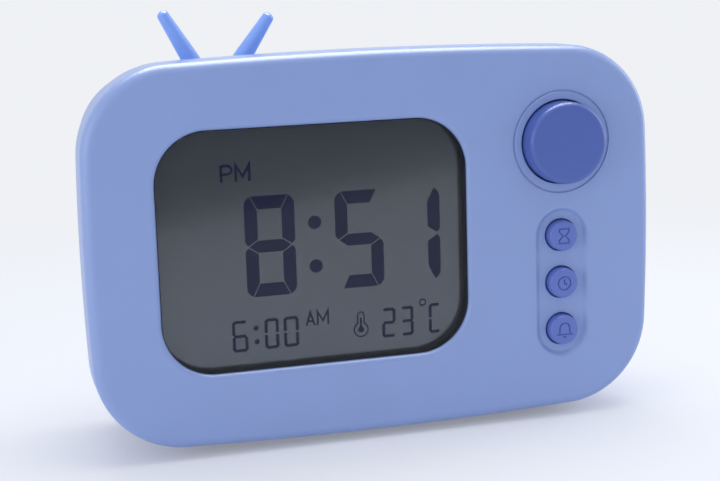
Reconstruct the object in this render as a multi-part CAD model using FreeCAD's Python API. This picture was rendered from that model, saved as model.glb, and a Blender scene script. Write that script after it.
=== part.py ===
# Toy-television alarm clock with a night light: bowed bezel, stepped-in back, knob, three keys, two aerials.
# Millimetres, +Z up, +X to the right of the screen, +Y into the clock.
# The origin is on the table, under the middle of the box round the whole clock.
import FreeCAD, Part
import math
import os
from FreeCAD import Vector

# Overall form
half_width = 69.0
half_height = 45.35
side_bow = 1.6            # how far a side bulges over its whole height
top_bow = 2.1             # the same for top and bottom, over the whole width
corner_radius = 21.2
table_gap = 1.8           # lowest point of the bezel above the table
body_depth = 40.0
knob_proud = 4.8
middle_z = table_gap + half_height
front_y = knob_proud - (body_depth + knob_proud) / 2

# Used all over
past = 1.0                # how far a cut runs past the face that it opens
sunk = 0.3                # how far a rib, boss or hook is set into the wall that carries it
round_sides = 20          # of round forms that are hidden inside

# Front housing
bezel_depth = 11.0
bezel_edge = 1.3
wall = 2.2
face_wall = 2.4
back_wall = 2.2
web_half = 0.6
stop_half = 0.5           # bars behind the face, between the keys' flanges
stop_half_length = 8.0
stop_height = 2.6

# Screen window, its lens and the stack behind it
window_x = -15.6
window_z = 48.0
window_half_width = 37.0
window_half_height = 28.2
window_corner = 12.3
window_edge = 0.6
lens_gap = 0.1
lens_flange = 2.2
lens_back = 3.6
rim_depth = 1.2
lcd_front = lens_back + rim_depth
lcd_thickness = 2.6
lcd_half_width = 39.4
lcd_half_height = 31.0
lcd_gap = 0.2
glass_thickness = 1.2
contact_ledge = 3.0       # bottom strip of the front glass, which the back glass leaves bare
film_margin = 1.0
film_overlap = 0.1
frame_wall = 1.2
view_margin = 0.4         # the display frame's opening past the window
guide_front = lcd_front + lcd_thickness + lcd_gap
guide_thickness = 2.8
guide_gap = 0.3
guide_end = 36.0          # right edge of the light guide, from the window's middle
sheet_thickness = 0.3
sheet_front = guide_front + guide_thickness
zebra_half = 32.0
zebra_height = 2.2
board_front = 11.6
board_thickness = 1.6
board_back = board_front + board_thickness
board_half_width = 41.2
board_bottom = 16.8
board_top = 72.5
tab_thickness = 1.5
tab_half = 2.8

# Parts on the main board
chip_x = window_x - 14
chip_z = 44.0
chip_half = 6.0
chip_height = 1.6
chip_edge = 0.3
crystal_x = -2.0
crystal_z = 62.0
crystal_height = 2.0
crystal_length = 6.0
sensor_x = -50.0
sensor_z = 26.0
sensor_radius = 1.3
sensor_length = 1.6
sensor_reach = 4.0
sensor_lead_half = 0.2
sensor_lead_x = 0.6
lamp_z = 14.0             # of each lamp, above and below the window's middle
lamp_half = 1.9
lamp_window_half = 1.4
lamp_window = 0.5         # depth of the clear window at the front of its case
lamp_length = 2.4
lamp_rim = 0.4

# Screws, their bosses and pilot holes
screw_x = 51.0
screw_z = 35.6
screw_seat = 20.2
boss_radius = 2.3
housing_screw = {"shank": 1.1, "head": 2.6, "length": 11.0}
board_screw = {"shank": 0.9, "head": 1.9, "length": 8.0}
key_board_screw = {"shank": 0.9, "head": 1.9, "length": 7.0}
head_height = 0.7         # as a share of its radius
pilot_spare = 1.0         # a pilot hole runs this far past the screw's tip
board_hole = 1.2
seat_hole = 1.4
frame_boss_x = 44.2
frame_boss_z = 18.0
frame_boss_radius = 2.8

# Knob, the groove round it, and its rotary encoder with a push switch
knob_x = 45.6
knob_z = 68.55
knob_radius = 9.8
knob_bore = 10.15
knob_edge = 0.9
knob_travel = 1.5
knob_skirt_end = 3.4
knob_shell = 1.5
hub_radius = 4.6
hub_end = 2.8
groove_radius = 12.2
groove_width = 0.4
groove_depth = 0.35
well_wall = 1.7
well_floor = knob_skirt_end + knob_travel + 0.5
well_end = 7.2
shaft_radius = 3.0
shaft_tip = -2.6
shaft_back = 11.3
shaft_flat = 1.5          # how far the flat of the shaft is from its axis
shaft_gap = 0.06
hub_gap = 0.02
encoder_front = 7.3
encoder_depth = 7.5
encoder_half = 6.1
encoder_back_wall = 0.5
bush_radius = 3.6
bush_end = 4.8
bush_gap = 0.2
cavity_half = 4.0
collar = 0.6
collar_gap = 0.1
plunger_plate = 1.0

# Three keys in their long recess, their board and switches
key_z = 34.0
key_pitch = 11.7
key_hole = 3.98
key_radius = 3.66
key_proud = 1.3
key_edge = 0.5
key_flange_half = 4.8
key_flange = 1.0
key_flange_gap = 0.1
stem_half = 1.4
recess_radius = 6.75
recess_floor_radius = 5.8
recess_depth = 1.0
key_names = ("timer", "clock", "alarm")      # from top to bottom
key_board_front = encoder_front + encoder_depth
key_board_back = key_board_front + board_thickness
key_board_half = 11.4
key_board_bottom = 16.0
key_board_top = 79.0
key_board_hole = 1.1
board_screw_x = 9.0
board_screw_top = 54.0
board_screw_bottom = 19.5
switch_half = 3.0
switch_height = 3.5
switch_floor = 0.8
switch_gap = 0.1
plunger_half = 1.5
plunger_front = key_board_front - 5.2
plunger_back = key_board_front - 1.9

# Flat cable from the main board to the key board
cable_low = 33.0
cable_high = 43.0
cable_thickness = 0.9
cable_lift = 3.2          # above the key board
cable_bevel = 1.2
cable_left = window_x + board_half_width - 4
cable_right = knob_x - 8.4
cable_end = 2.0           # how much of it lies on the key board

# Back housing: stepped in behind the bezel, with a bevelled back edge
back_step = 3.2
rim_inset = 1.2           # collar that butts against the bezel's back edge
back_bevel = 3.0
tab_reach = 1.8           # of the tabs that locate it inside the bezel
tab_gap = 0.15
tab_half_length = 9.0
well_radius = 3.3
tube_radius = 4.8

# Battery bay and door
bay_x = 22.0
bay_z = 42.0
bay_half_width = 24.8
bay_half_height = 18.2
bay_floor = 26.6
bay_wall = 1.5
ledge_width = 2.0         # round the door's opening, behind the wall
ledge_depth = 2.3
door_half_width = 28.0
door_half_height = 20.0
door_gap = 0.2
door_seat_gap = 0.05
door_thickness = 1.75
door_corner = 3.0
hook_width = 6.0
hook_x = 16.0
hook_gap = 0.3
hook_reach = 2.6
hook_thickness = 1.2
hook_drop = 0.2           # between the door's inner face and a hook
hook_root = 3.0
slot_reach = 4.4          # of a hook's slot below the door
slot_height = 2.8
tongue_half = 5.0
tongue_thickness = 1.6
tongue_low = 2.6          # below the door's top edge
tongue_high = 0.8
catch_half = 6.0
door_rib_z = 11.5
door_rib_half_length = 20.0
door_rib_half = 0.5
door_rib_height = 0.6
grip_rows = 4
grip_pitch = 1.8
grip_half = 0.4
grip_depth = 0.5
grip_top = 4.0            # first line below the door's top edge
grip_reach = 7.0          # half length of the first line; each next is 1 shorter

# Cells and their contacts
cell_radius = 5.2
cell_length = 43.3
cell_pitch = 11.9
cell_depth = 32.2
cell_end_gap = 0.5
cap_height = 1.1
cap_half = 1.6
cap_seat = 1.0            # from the cap's tip to the cell's body
rib_half = 0.3
rib_half_length = 18.0
rib_height = 2.0
contact_thickness = 0.4
contact_half = 4.0
contact_low = 1.5
contact_high = 9.5
leaf_half = 3.0
leaf_strip = 0.4

# Speaker
speaker_x = -33.0
speaker_z = 50.0
speaker_radius = 14.0
magnet_radius = 7.2
magnet_front = 31.0
basket_front = 34.0
slot_width = 1.6
slot_pitch = 3.4
slot_rows = 3             # above and below the middle slot
slot_field = 12.0
clip_half = 1.2
clip_length = 4.0

# Twin leads, two insulated wires side by side
lead_thickness = 1.2
lead_half_height = 1.2
lead_bend = 4.0
battery_lead_depth = 30.0
speaker_lead_x = speaker_x - 9

# Aerials: foot and tip on the axis of each, x and z
aerial_depth = 20.0
aerials = {"left": ((-38.6, 89.4), (-45.6, 101.6)), "right": ((-28.2, 89.8), (-20.7, 100.2))}
aerial_foot_radius = 2.25
aerial_tip_radius = 1.2
aerial_plug_radius = 1.5
aerial_plug_length = 5.0
aerial_root = 6.0
socket_half_length = 8.0

# Rubber feet, one under each side
foot_x = 43.0
foot_start = 13.2
foot_finish = 33.0
foot_half_width = 5.5
foot_corner = 1.5
foot_top = 12.0


def at(x, depth, z):
    # A point given by its depth behind the front face
    return Vector(x, front_y + depth, z)


def disc(x, z, radius, start, end):
    # Cylinder along the clock's depth
    return Part.makeCylinder(radius, end - start, at(x, start, z), Vector(0, 1, 0))


def prism(x, z, radius, start, end, sides=8):
    # Many-sided post along the clock's depth, for what repeats or is hidden
    turn = 2 * math.pi / sides
    points = [at(x + radius * math.cos(turn * (k + 0.5)), start, z + radius * math.sin(turn * (k + 0.5)))
              for k in range(sides)]
    return Part.Face(Part.makePolygon(points + [points[0]])).extrude(Vector(0, end - start, 0))


def block(left, right, start, end, bottom, top):
    return Part.makeBox(right - left, end - start, top - bottom, at(left, start, bottom))


def square_bar(x, z, half, start, end):
    return block(x - half, x + half, start, end, z - half, z + half)


def window_block(half_w, half_h, start, end):
    # Block about the middle of the window
    return block(window_x - half_w, window_x + half_w, start, end, window_z - half_h, window_z + half_h)


def slab(wire, thickness):
    return Part.Face(wire).extrude(Vector(0, thickness, 0))


def closed_wire(edges):
    return Part.Wire(Part.__sortEdges__(edges))


def bow_arcs():
    # Radii of the side and top arcs, and where their centres lie on the axes
    side_arc = (half_height ** 2 + side_bow ** 2) / (2 * side_bow)
    top_arc = (half_width ** 2 + top_bow ** 2) / (2 * top_bow)
    return side_arc, top_arc, half_width - side_arc, half_height - top_arc


def corner_centre():
    # Where an arc of the corner radius touches both the side's arc and the top's arc
    side_arc, top_arc, side_x, top_z = bow_arcs()
    gap = math.hypot(side_x, top_z)
    side_reach = side_arc - corner_radius
    top_reach = top_arc - corner_radius
    along = (side_reach ** 2 - top_reach ** 2 + gap ** 2) / (2 * gap)
    across = math.sqrt(side_reach ** 2 - along ** 2)
    ux = -side_x / gap
    uz = top_z / gap
    return side_x + ux * along - uz * across, uz * along + ux * across


def bowed_outline(inset, depth):
    # The television outline, drawn in by inset: eight tangent arcs
    side_arc, top_arc, side_x, top_z = bow_arcs()
    cx, cz = corner_centre()
    side_angle = math.atan2(cz, cx - side_x)
    top_angle = math.atan2(cz - top_z, cx)
    mid_angle = (side_angle + top_angle) / 2
    corner_reach = corner_radius - inset
    side = (side_x + (side_arc - inset) * math.cos(side_angle), (side_arc - inset) * math.sin(side_angle))
    top = ((top_arc - inset) * math.cos(top_angle), top_z + (top_arc - inset) * math.sin(top_angle))
    mid = (cx + corner_reach * math.cos(mid_angle), cz + corner_reach * math.sin(mid_angle))
    right = (half_width - inset, 0)
    crown = (0, half_height - inset)
    edges = []
    for sx, sz in ((1, 1), (-1, 1), (-1, -1), (1, -1)):
        corner = [at(sx * x, depth, middle_z + sz * z) for x, z in (side, mid, top)]
        edges.append(Part.Arc(*corner).toShape())
    for s in (1, -1):
        upright = [at(s * x, depth, middle_z + z) for x, z in ((side[0], -side[1]), right, side)]
        level = [at(x, depth, middle_z + s * z) for x, z in ((-top[0], top[1]), crown, top)]
        edges.append(Part.Arc(*upright).toShape())
        edges.append(Part.Arc(*level).toShape())
    return closed_wire(edges)


def rounded_rectangle(x, z, half_w, half_h, radius, depth):
    edges = []
    turn = radius * (1 - math.sqrt(0.5))
    for sx, sz in ((1, 1), (-1, 1), (-1, -1), (1, -1)):
        start = at(x + sx * half_w, depth, z + sz * (half_h - radius))
        middle = at(x + sx * (half_w - turn), depth, z + sz * (half_h - turn))
        end = at(x + sx * (half_w - radius), depth, z + sz * half_h)
        edges.append(Part.Arc(start, middle, end).toShape())
    for s in (1, -1):
        upright = [at(x + s * half_w, depth, z + t * (half_h - radius)) for t in (-1, 1)]
        level = [at(x + t * (half_w - radius), depth, z + s * half_h) for t in (-1, 1)]
        edges.append(Part.LineSegment(*upright).toShape())
        edges.append(Part.LineSegment(*level).toShape())
    return closed_wire(edges)


def stadium(x, z, half_run, radius, depth):
    # Two half circles joined by upright lines
    edges = []
    for s in (1, -1):
        arc = [(-radius, s * half_run), (0, s * (half_run + radius)), (radius, s * half_run)]
        line = [(s * radius, -half_run), (s * radius, half_run)]
        edges.append(Part.Arc(*[at(x + px, depth, z + pz) for px, pz in arc]).toShape())
        edges.append(Part.LineSegment(*[at(x + px, depth, z + pz) for px, pz in line]).toShape())
    return closed_wire(edges)


def edges_at(shape, depth, test=None):
    # Edges that lie wholly in the plane at this depth
    found = []
    for edge in shape.Edges:
        box = edge.BoundBox
        flat = abs(box.YMin - front_y - depth) < 1e-4 and abs(box.YMax - front_y - depth) < 1e-4
        if flat and (test is None or test(box)):
            found.append(edge)
    return found


def mitred_strip(places, thickness):
    # Outline of a strip of even thickness along a route of x and depth
    sides = ([], [])
    for before, place, after in zip([None] + places, places, places[1:] + [None]):
        one = before and math.atan2(place[1] - before[1], place[0] - before[0])
        two = after and math.atan2(after[1] - place[1], after[0] - place[0])
        one = two if one is None else one
        two = one if two is None else two
        normal = (one + two) / 2 + math.pi / 2
        for side, sign in zip(sides, (1, -1)):
            reach = sign * thickness / 2 / math.cos((two - one) / 2)
            side.append((place[0] + reach * math.cos(normal), place[1] + reach * math.sin(normal)))
    return sides[0] + sides[1][::-1]


def upright_slab(outline, low, high):
    # Solid between two heights from an outline of x and depth
    points = [at(x, depth, low) for x, depth in outline]
    return Part.Face(Part.makePolygon(points + [points[0]])).extrude(Vector(0, 0, high - low))


def flat_lead(route, middle):
    outline = mitred_strip(route, lead_thickness)
    return upright_slab(outline, middle - lead_half_height, middle + lead_half_height)


def key_centres():
    return [(name, key_z + (1 - row) * key_pitch) for row, name in enumerate(key_names)]


def corners(x, z, dx, dz):
    return [(x + sx * dx, z + sz * dz) for sx in (-1, 1) for sz in (-1, 1)]


def housing_screw_places():
    return corners(0, middle_z, screw_x, screw_z)


def frame_screw_places():
    return corners(window_x, window_z, frame_boss_x, frame_boss_z)


def key_board_places():
    return [(knob_x - board_screw_x, board_screw_top), (knob_x + board_screw_x, board_screw_bottom)]


def ears(left, right, start, end):
    # Screw tabs that reach out from a plate's left and right edges
    solids = []
    for x, z in frame_screw_places():
        edge = left if x < window_x else right
        tip = x + math.copysign(tab_half, x - window_x)
        solids.append(block(min(tip, edge), max(tip, edge), start, end, z - tab_half, z + tab_half))
    return solids


def drill(shape, places, radius, start, end):
    return shape.cut([prism(x, z, radius, start, end) for x, z in places])


def drill_pilots(shape, places, screw, seat, surface):
    # Blind holes for screws that bite this deep below the face they come in by
    tip = seat - screw["length"] - pilot_spare
    return drill(shape, places, screw["shank"], tip, surface + past)


def key_recess():
    # Dish round the three keys
    mouth = stadium(knob_x, key_z, key_pitch, recess_radius, 0)
    floor = stadium(knob_x, key_z, key_pitch, recess_floor_radius, recess_depth)
    dish = Part.makeLoft([mouth, floor], True, True)
    return dish.fuse(slab(stadium(knob_x, key_z, key_pitch, recess_radius, -past), past))


def knob_groove():
    outer = disc(knob_x, knob_z, groove_radius + groove_width / 2, -past, groove_depth)
    return outer.cut(disc(knob_x, knob_z, groove_radius - groove_width / 2, -past, groove_depth))


def bezel_bosses():
    # Screw bosses with their webs, the stops between the keys, the knob's well
    root = face_wall - sunk
    solids = [disc(knob_x, knob_z, knob_bore + well_wall, root, well_end)]
    for x, z in housing_screw_places():
        solids.append(prism(x, z, boss_radius, root, screw_seat))
        edge = middle_z + math.copysign(half_height - wall / 2 - top_bow / 2, z - middle_z)
        web_end = bezel_depth - back_wall
        solids.append(block(x - web_half, x + web_half, root, web_end, min(z, edge), max(z, edge)))
    for x, z in frame_screw_places():
        solids.append(prism(x, z, frame_boss_radius, root, board_front - tab_thickness))
    for x, z in key_board_places():
        solids.append(prism(x, z, frame_boss_radius, root, key_board_front))
    for row in (-0.5, 0.5):
        z = key_z + row * key_pitch
        solids.append(block(knob_x - stop_half_length, knob_x + stop_half_length, root, face_wall + stop_height,
                            z - stop_half, z + stop_half))
    return solids


def bezel_openings():
    mouth = rounded_rectangle(window_x, window_z, window_half_width, window_half_height, window_corner, -past)
    cuts = [slab(mouth, face_wall + 2 * past), key_recess(), knob_groove()]
    cuts.append(disc(knob_x, knob_z, knob_bore, -past, well_floor))
    cuts.append(disc(knob_x, knob_z, bush_radius + bush_gap, well_floor - past, well_end + past))
    for name, z in key_centres():
        cuts.append(disc(knob_x, z, key_hole, -past, face_wall + past))
    return cuts


def near_window(box):
    reach = window_half_width + lens_gap
    return box.XMin > window_x - reach and box.XMax < window_x + reach


def front_housing():
    shell = slab(bowed_outline(0, 0), bezel_depth)
    shell = shell.makeChamfer(bezel_edge, edges_at(shell, 0))
    shell = shell.cut(slab(bowed_outline(wall, face_wall), bezel_depth))
    shell = shell.fuse(bezel_bosses())
    shell = shell.cut(bezel_openings())
    housing_seat = screw_seat + back_wall
    shell = drill_pilots(shell, housing_screw_places(), housing_screw, housing_seat, screw_seat)
    shell = drill_pilots(shell, frame_screw_places(), board_screw, board_back, board_front)
    shell = drill_pilots(shell, key_board_places(), key_board_screw, key_board_back, key_board_front)
    shell = shell.removeSplitter()
    return shell.makeChamfer(window_edge, edges_at(shell, 0, near_window))


def screen_lens():
    # Stepped plate: the raised middle fills the window, the flange bonds behind the face
    raised = rounded_rectangle(window_x, window_z, window_half_width - lens_gap, window_half_height - lens_gap,
                               window_corner - lens_gap, window_edge)
    half_w = window_half_width + lens_flange
    half_h = window_half_height + lens_flange
    return slab(raised, face_wall - window_edge).fuse(window_block(half_w, half_h, face_wall, lens_back))


def lcd_panel():
    # Front glass carries the contacts on its lower edge, the back glass stops above them
    left = window_x - lcd_half_width
    right = window_x + lcd_half_width
    bottom = window_z - lcd_half_height
    top = window_z + lcd_half_height
    ledge = bottom + contact_ledge
    back = lcd_front + 2 * glass_thickness
    front_glass = block(left, right, lcd_front, lcd_front + glass_thickness, bottom, top)
    back_glass = block(left, right, lcd_front, back, ledge, top)
    film = block(left + film_margin, right - film_margin, back - film_overlap, lcd_front + lcd_thickness,
                 ledge + film_margin, top - film_margin)
    return front_glass.fuse([back_glass, film])


def lcd_frame():
    half_w = lcd_half_width + lcd_gap
    half_h = lcd_half_height + lcd_gap
    frame = window_block(half_w + frame_wall, half_h + frame_wall, lens_back, board_front)
    frame = frame.fuse(ears(window_x - half_w, window_x + half_w, board_front - tab_thickness, board_front))
    view = window_block(window_half_width + view_margin, window_half_height + view_margin, lens_back - past,
                        lcd_front + past)
    well = window_block(half_w, half_h, lcd_front, board_front + past)
    return drill(frame.cut([view, well]), frame_screw_places(), board_hole, 0, body_depth)


def backlight_plate(start, thickness):
    bottom = window_z - lcd_half_height + contact_ledge + guide_gap
    return block(window_x - lcd_half_width, window_x + guide_end, start, start + thickness, bottom,
                 window_z + lcd_half_height)


def zebra_strip():
    bottom = window_z - lcd_half_height + guide_gap
    return block(window_x - zebra_half, window_x + zebra_half, lcd_front + glass_thickness, board_front, bottom,
                 bottom + zebra_height)


def main_board():
    left = window_x - board_half_width
    right = window_x + board_half_width
    plate = block(left, right, board_front, board_back, board_bottom, board_top)
    plate = plate.fuse(ears(left, right, board_front, board_back)).removeSplitter()
    return drill(plate, frame_screw_places(), board_hole, 0, body_depth)


def control_chip():
    # Square flat package
    top = board_back + chip_height
    package = square_bar(chip_x, chip_z, chip_half, board_back, top)
    return package.makeChamfer(chip_edge, edges_at(package, top))


def crystal():
    return block(crystal_x, crystal_x + crystal_length, board_back, board_back + crystal_height,
                 crystal_z - crystal_height / 2, crystal_z + crystal_height / 2)


def temperature_sensor():
    # Bead on two leads at the board's cool lower corner
    tip = board_back + sensor_reach
    leads = [square_bar(sensor_x + dx, sensor_z, sensor_lead_half, board_back, tip)
             for dx in (-sensor_lead_x, sensor_lead_x)]
    return prism(sensor_x, sensor_z, sensor_radius, tip, tip + sensor_length).fuse(leads)


def night_light_leds():
    # Two side-firing lamps that shine into the light guide's edge
    left = window_x + guide_end + guide_gap
    case = left + lamp_window
    lamps = []
    for z in (window_z - lamp_z, window_z + lamp_z):
        body = block(case, left + lamp_length, guide_front + lcd_gap, board_front, z - lamp_half, z + lamp_half)
        clear = block(left, case + film_overlap, guide_front + lcd_gap + lamp_rim,
                      guide_front + guide_thickness - lamp_rim, z - lamp_window_half, z + lamp_window_half)
        lamps.append(body.fuse(clear))
    return Part.makeCompound(lamps)


def screw(x, z, seat, sizes):
    # Driven from the back; the thread and the cross recess are left out
    head = prism(x, z, sizes["head"], seat, seat + sizes["head"] * head_height)
    return head.fuse(prism(x, z, sizes["shank"], seat - sizes["length"], seat))


def housing_screws():
    seat = screw_seat + back_wall
    return Part.makeCompound([screw(x, z, seat, housing_screw) for x, z in housing_screw_places()])


def board_screws():
    # Four through the main board and the display frame, two through the key board
    screws = [screw(x, z, board_back, board_screw) for x, z in frame_screw_places()]
    screws += [screw(x, z, key_board_back, key_board_screw) for x, z in key_board_places()]
    return Part.makeCompound(screws)


def key_board():
    plate = block(knob_x - key_board_half, knob_x + key_board_half, key_board_front, key_board_back,
                  key_board_bottom, key_board_top)
    return drill(plate, key_board_places(), key_board_hole, 0, body_depth)


def tact_switches():
    # Square cases, each with a well for its plunger
    cases = []
    for name, z in key_centres():
        case = square_bar(knob_x, z, switch_half, key_board_front - switch_height, key_board_front)
        well = square_bar(knob_x, z, plunger_half + switch_gap, 0, key_board_front - switch_floor)
        cases.append(case.cut(well))
    return Part.makeCompound(cases)


def switch_plunger(z):
    return square_bar(knob_x, z, plunger_half, plunger_front, plunger_back)


def key_cap(z):
    # Round cap, the square flange that stops it behind the face and from turning, and the stem to its switch
    behind = face_wall + key_flange_gap
    cap = disc(knob_x, z, key_radius, -key_proud, behind)
    cap = cap.makeChamfer(key_edge, edges_at(cap, -key_proud))
    flange = square_bar(knob_x, z, key_flange_half, behind, behind + key_flange)
    stem = square_bar(knob_x, z, stem_half, behind + key_flange, plunger_front)
    return cap.fuse([flange, stem]).removeSplitter()


def encoder_body():
    # Square case with a bush; the cavity at the back holds the push switch
    end = encoder_front + encoder_depth
    case = square_bar(knob_x, knob_z, encoder_half, encoder_front, end)
    case = case.fuse(prism(knob_x, knob_z, bush_radius, bush_end, encoder_front, round_sides))
    case = case.cut(disc(knob_x, knob_z, shaft_radius + shaft_gap, 0, shaft_back))
    return case.cut(square_bar(knob_x, knob_z, cavity_half, shaft_back - collar - collar_gap,
                               end - encoder_back_wall))


def d_shape(radius, start, end):
    # Round bar with a flat along its top
    whole = disc(knob_x, knob_z, radius, start, end)
    reach = 2 * radius
    flat = knob_z + shaft_flat + radius - shaft_radius
    return whole.cut(block(knob_x - reach, knob_x + reach, start - past, end + past, flat, knob_z + reach))


def encoder_shaft():
    flat_end = hub_end + bush_gap
    tip = d_shape(shaft_radius, shaft_tip, flat_end)
    round_part = disc(knob_x, knob_z, shaft_radius, flat_end, shaft_back)
    stop = prism(knob_x, knob_z, shaft_radius + collar, shaft_back - collar, shaft_back)
    return tip.fuse([round_part, stop]).removeSplitter()


def encoder_plunger():
    return square_bar(knob_x, knob_z, cavity_half - shaft_gap, shaft_back, shaft_back + plunger_plate)


def knob():
    # Hollow dial with a bevelled edge and a D-bored hub on the shaft
    body = disc(knob_x, knob_z, knob_radius, -knob_proud, knob_skirt_end)
    body = body.makeChamfer(knob_edge, edges_at(body, -knob_proud))
    roof = knob_shell - knob_proud
    hollow = prism(knob_x, knob_z, knob_radius - knob_shell, roof, knob_skirt_end + past, round_sides)
    body = body.cut(hollow).fuse(prism(knob_x, knob_z, hub_radius, roof - sunk, hub_end))
    return body.cut(d_shape(shaft_radius + hub_gap, shaft_tip - collar_gap, hub_end + past)).removeSplitter()


def back_form(lining):
    # The shell behind the bezel, or its inside when lining is the wall
    form = slab(bowed_outline(back_step + lining, bezel_depth), body_depth - lining - bezel_depth)
    return form if lining else form.makeChamfer(back_bevel, edges_at(form, body_depth))


def rubber_feet():
    # Blocks stuck on below, cut to the curve of the shell above them
    shell = back_form(0)
    feet = []
    for x in (-foot_x, foot_x):
        foot = block(x - foot_half_width, x + foot_half_width, foot_start, foot_finish, 0, foot_top)
        uprights = [edge for edge in foot.Edges if edge.BoundBox.ZLength > foot_top / 2]
        feet.append(foot.makeChamfer(foot_corner, uprights).cut(shell))
    return Part.makeCompound(feet)


def bay_block(half_w, half_h, start, end):
    # Block about the middle of the battery bay
    return block(bay_x - half_w, bay_x + half_w, start, end, bay_z - half_h, bay_z + half_h)


def battery_tub():
    panel = body_depth - back_wall + sunk
    tub = bay_block(bay_half_width + bay_wall, bay_half_height + bay_wall, bay_floor - bay_wall, panel)
    ledge = bay_block(door_half_width + ledge_width, door_half_height + ledge_width, panel - ledge_depth, panel)
    return [tub, ledge]


def battery_openings():
    seat = body_depth - door_thickness - door_seat_gap
    mouth = rounded_rectangle(bay_x, bay_z, door_half_width + door_gap, door_half_height + door_gap,
                              door_corner + door_gap, seat)
    cuts = [bay_block(bay_half_width, bay_half_height, bay_floor, body_depth + past)]
    cuts.append(slab(mouth, door_thickness + past))
    sill = bay_z - door_half_height
    for x in (bay_x - hook_x, bay_x + hook_x):
        half = hook_width / 2 + hook_gap
        cuts.append(block(x - half, x + half, seat - slot_height, seat, sill - slot_reach, sill + hook_root))
    head = bay_z + bay_half_height
    catch_top = bay_z + door_half_height + tongue_high
    cuts.append(block(bay_x - catch_half, bay_x + catch_half, seat - hook_reach, seat, head - past, catch_top))
    return cuts


def cell_ribs():
    return [block(bay_x - rib_half_length, bay_x + rib_half_length, bay_floor - sunk, bay_floor + rib_height,
                  z - rib_half, z + rib_half) for z in (bay_z - cell_pitch / 2, bay_z + cell_pitch / 2)]


def grille_slots():
    # Level slots whose ends follow a circle
    slots = []
    for row in range(-slot_rows, slot_rows + 1):
        z = speaker_z + row * slot_pitch
        half_run = math.sqrt(slot_field ** 2 - (row * slot_pitch) ** 2)
        slots.append(block(speaker_x - half_run, speaker_x + half_run, body_depth - back_wall - past,
                           body_depth + past, z - slot_width / 2, z + slot_width / 2))
    return slots


def side_drop(bow, half_span):
    # How far a bowed side falls away over the length of a tab
    return bow * (tab_half_length / half_span) ** 2


def locating_tabs():
    # Straight tabs at the middle of each side that stand inside the bezel's wall
    tabs = []
    start = bezel_depth - tab_reach
    end = bezel_depth + back_wall / 2
    side = half_width - wall - tab_gap - side_drop(side_bow, half_height)
    top = half_height - wall - tab_gap - side_drop(top_bow, half_width)
    thick = back_step + back_wall - wall - tab_gap
    length = tab_half_length
    for sign in (-1, 1):
        across = sorted((sign * side, sign * (side - thick)))
        tabs.append(block(*across, start, end, middle_z - length, middle_z + length))
        upward = sorted((middle_z + sign * top, middle_z + sign * (top - thick)))
        tabs.append(block(-length, length, start, end, *upward))
    return tabs


def speaker_clips():
    # Four posts round the speaker
    reach = speaker_radius + clip_half
    low = body_depth - back_wall - clip_length
    high = body_depth - back_wall / 2
    return [square_bar(speaker_x + reach * dx, speaker_z + reach * dz, clip_half, low, high)
            for dx, dz in ((1, 0), (-1, 0), (0, 1), (0, -1))]


def aerial_axis(side):
    # Foot, direction and length
    (foot, foot_z), (tip, tip_z) = aerials[side]
    start = at(foot, aerial_depth, foot_z)
    along = at(tip, aerial_depth, tip_z).sub(start)
    length = along.Length
    return start, along.normalize(), length


def aerial_socket(side):
    foot, along, length = aerial_axis(side)
    start = foot - along * socket_half_length
    return tapered_rod(start, along, 2 * socket_half_length, aerial_plug_radius, aerial_plug_radius)


def rear_housing():
    outer = back_form(0)
    rim = slab(bowed_outline(rim_inset, bezel_depth), back_wall)
    rim = rim.cut(slab(bowed_outline(back_step + back_wall, bezel_depth - past), back_wall + 2 * past))
    shell = outer.cut(back_form(back_wall)).fuse(rim)
    tubes = [prism(x, z, tube_radius, screw_seat, body_depth).common(outer) for x, z in housing_screw_places()]
    shell = shell.fuse(locating_tabs() + speaker_clips() + tubes + battery_tub())
    shell = shell.cut(battery_openings() + grille_slots())
    shell = shell.fuse(cell_ribs())
    shell = drill(shell, housing_screw_places(), well_radius, screw_seat + back_wall, body_depth + past)
    shell = drill(shell, housing_screw_places(), seat_hole, screw_seat - past, body_depth)
    return shell.cut([aerial_socket(side) for side in aerials])


def tapered_rod(start, along, length, first, last, sides=16):
    # Many-sided rod with flat sides
    across = along.cross(Vector(0, 1, 0)).normalize()
    upright = along.cross(across)
    turns = [2 * math.pi * k / sides for k in range(sides)]
    rings = []
    for centre, radius in ((start, first), (start + along * length, last)):
        rings.append([centre + across * (radius * math.cos(turn)) + upright * (radius * math.sin(turn))
                      for turn in turns])
    low, high = rings
    faces = [Part.Face(Part.makePolygon(ring + [ring[0]])) for ring in rings]
    for k in range(sides):
        after = (k + 1) % sides
        faces.append(Part.Face(Part.makePolygon([low[k], low[after], high[after], high[k], low[k]])))
    return Part.makeSolid(Part.makeShell(faces))


def aerial(side):
    # Tapered rod with a bevelled tip, seated on the roof, and the plug through it
    foot, along, length = aerial_axis(side)
    tip_radius = aerial_tip_radius
    rod = tapered_rod(foot - along * aerial_root, along, length + aerial_root, aerial_foot_radius, tip_radius)
    tip = tapered_rod(foot + along * length, along, tip_radius, tip_radius, tip_radius / 2)
    plug = tapered_rod(foot - along * aerial_plug_length, along, aerial_plug_length + past, aerial_plug_radius,
                       aerial_plug_radius)
    return rod.fuse(tip).cut(back_form(0)).fuse(plug).removeSplitter()


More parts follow.
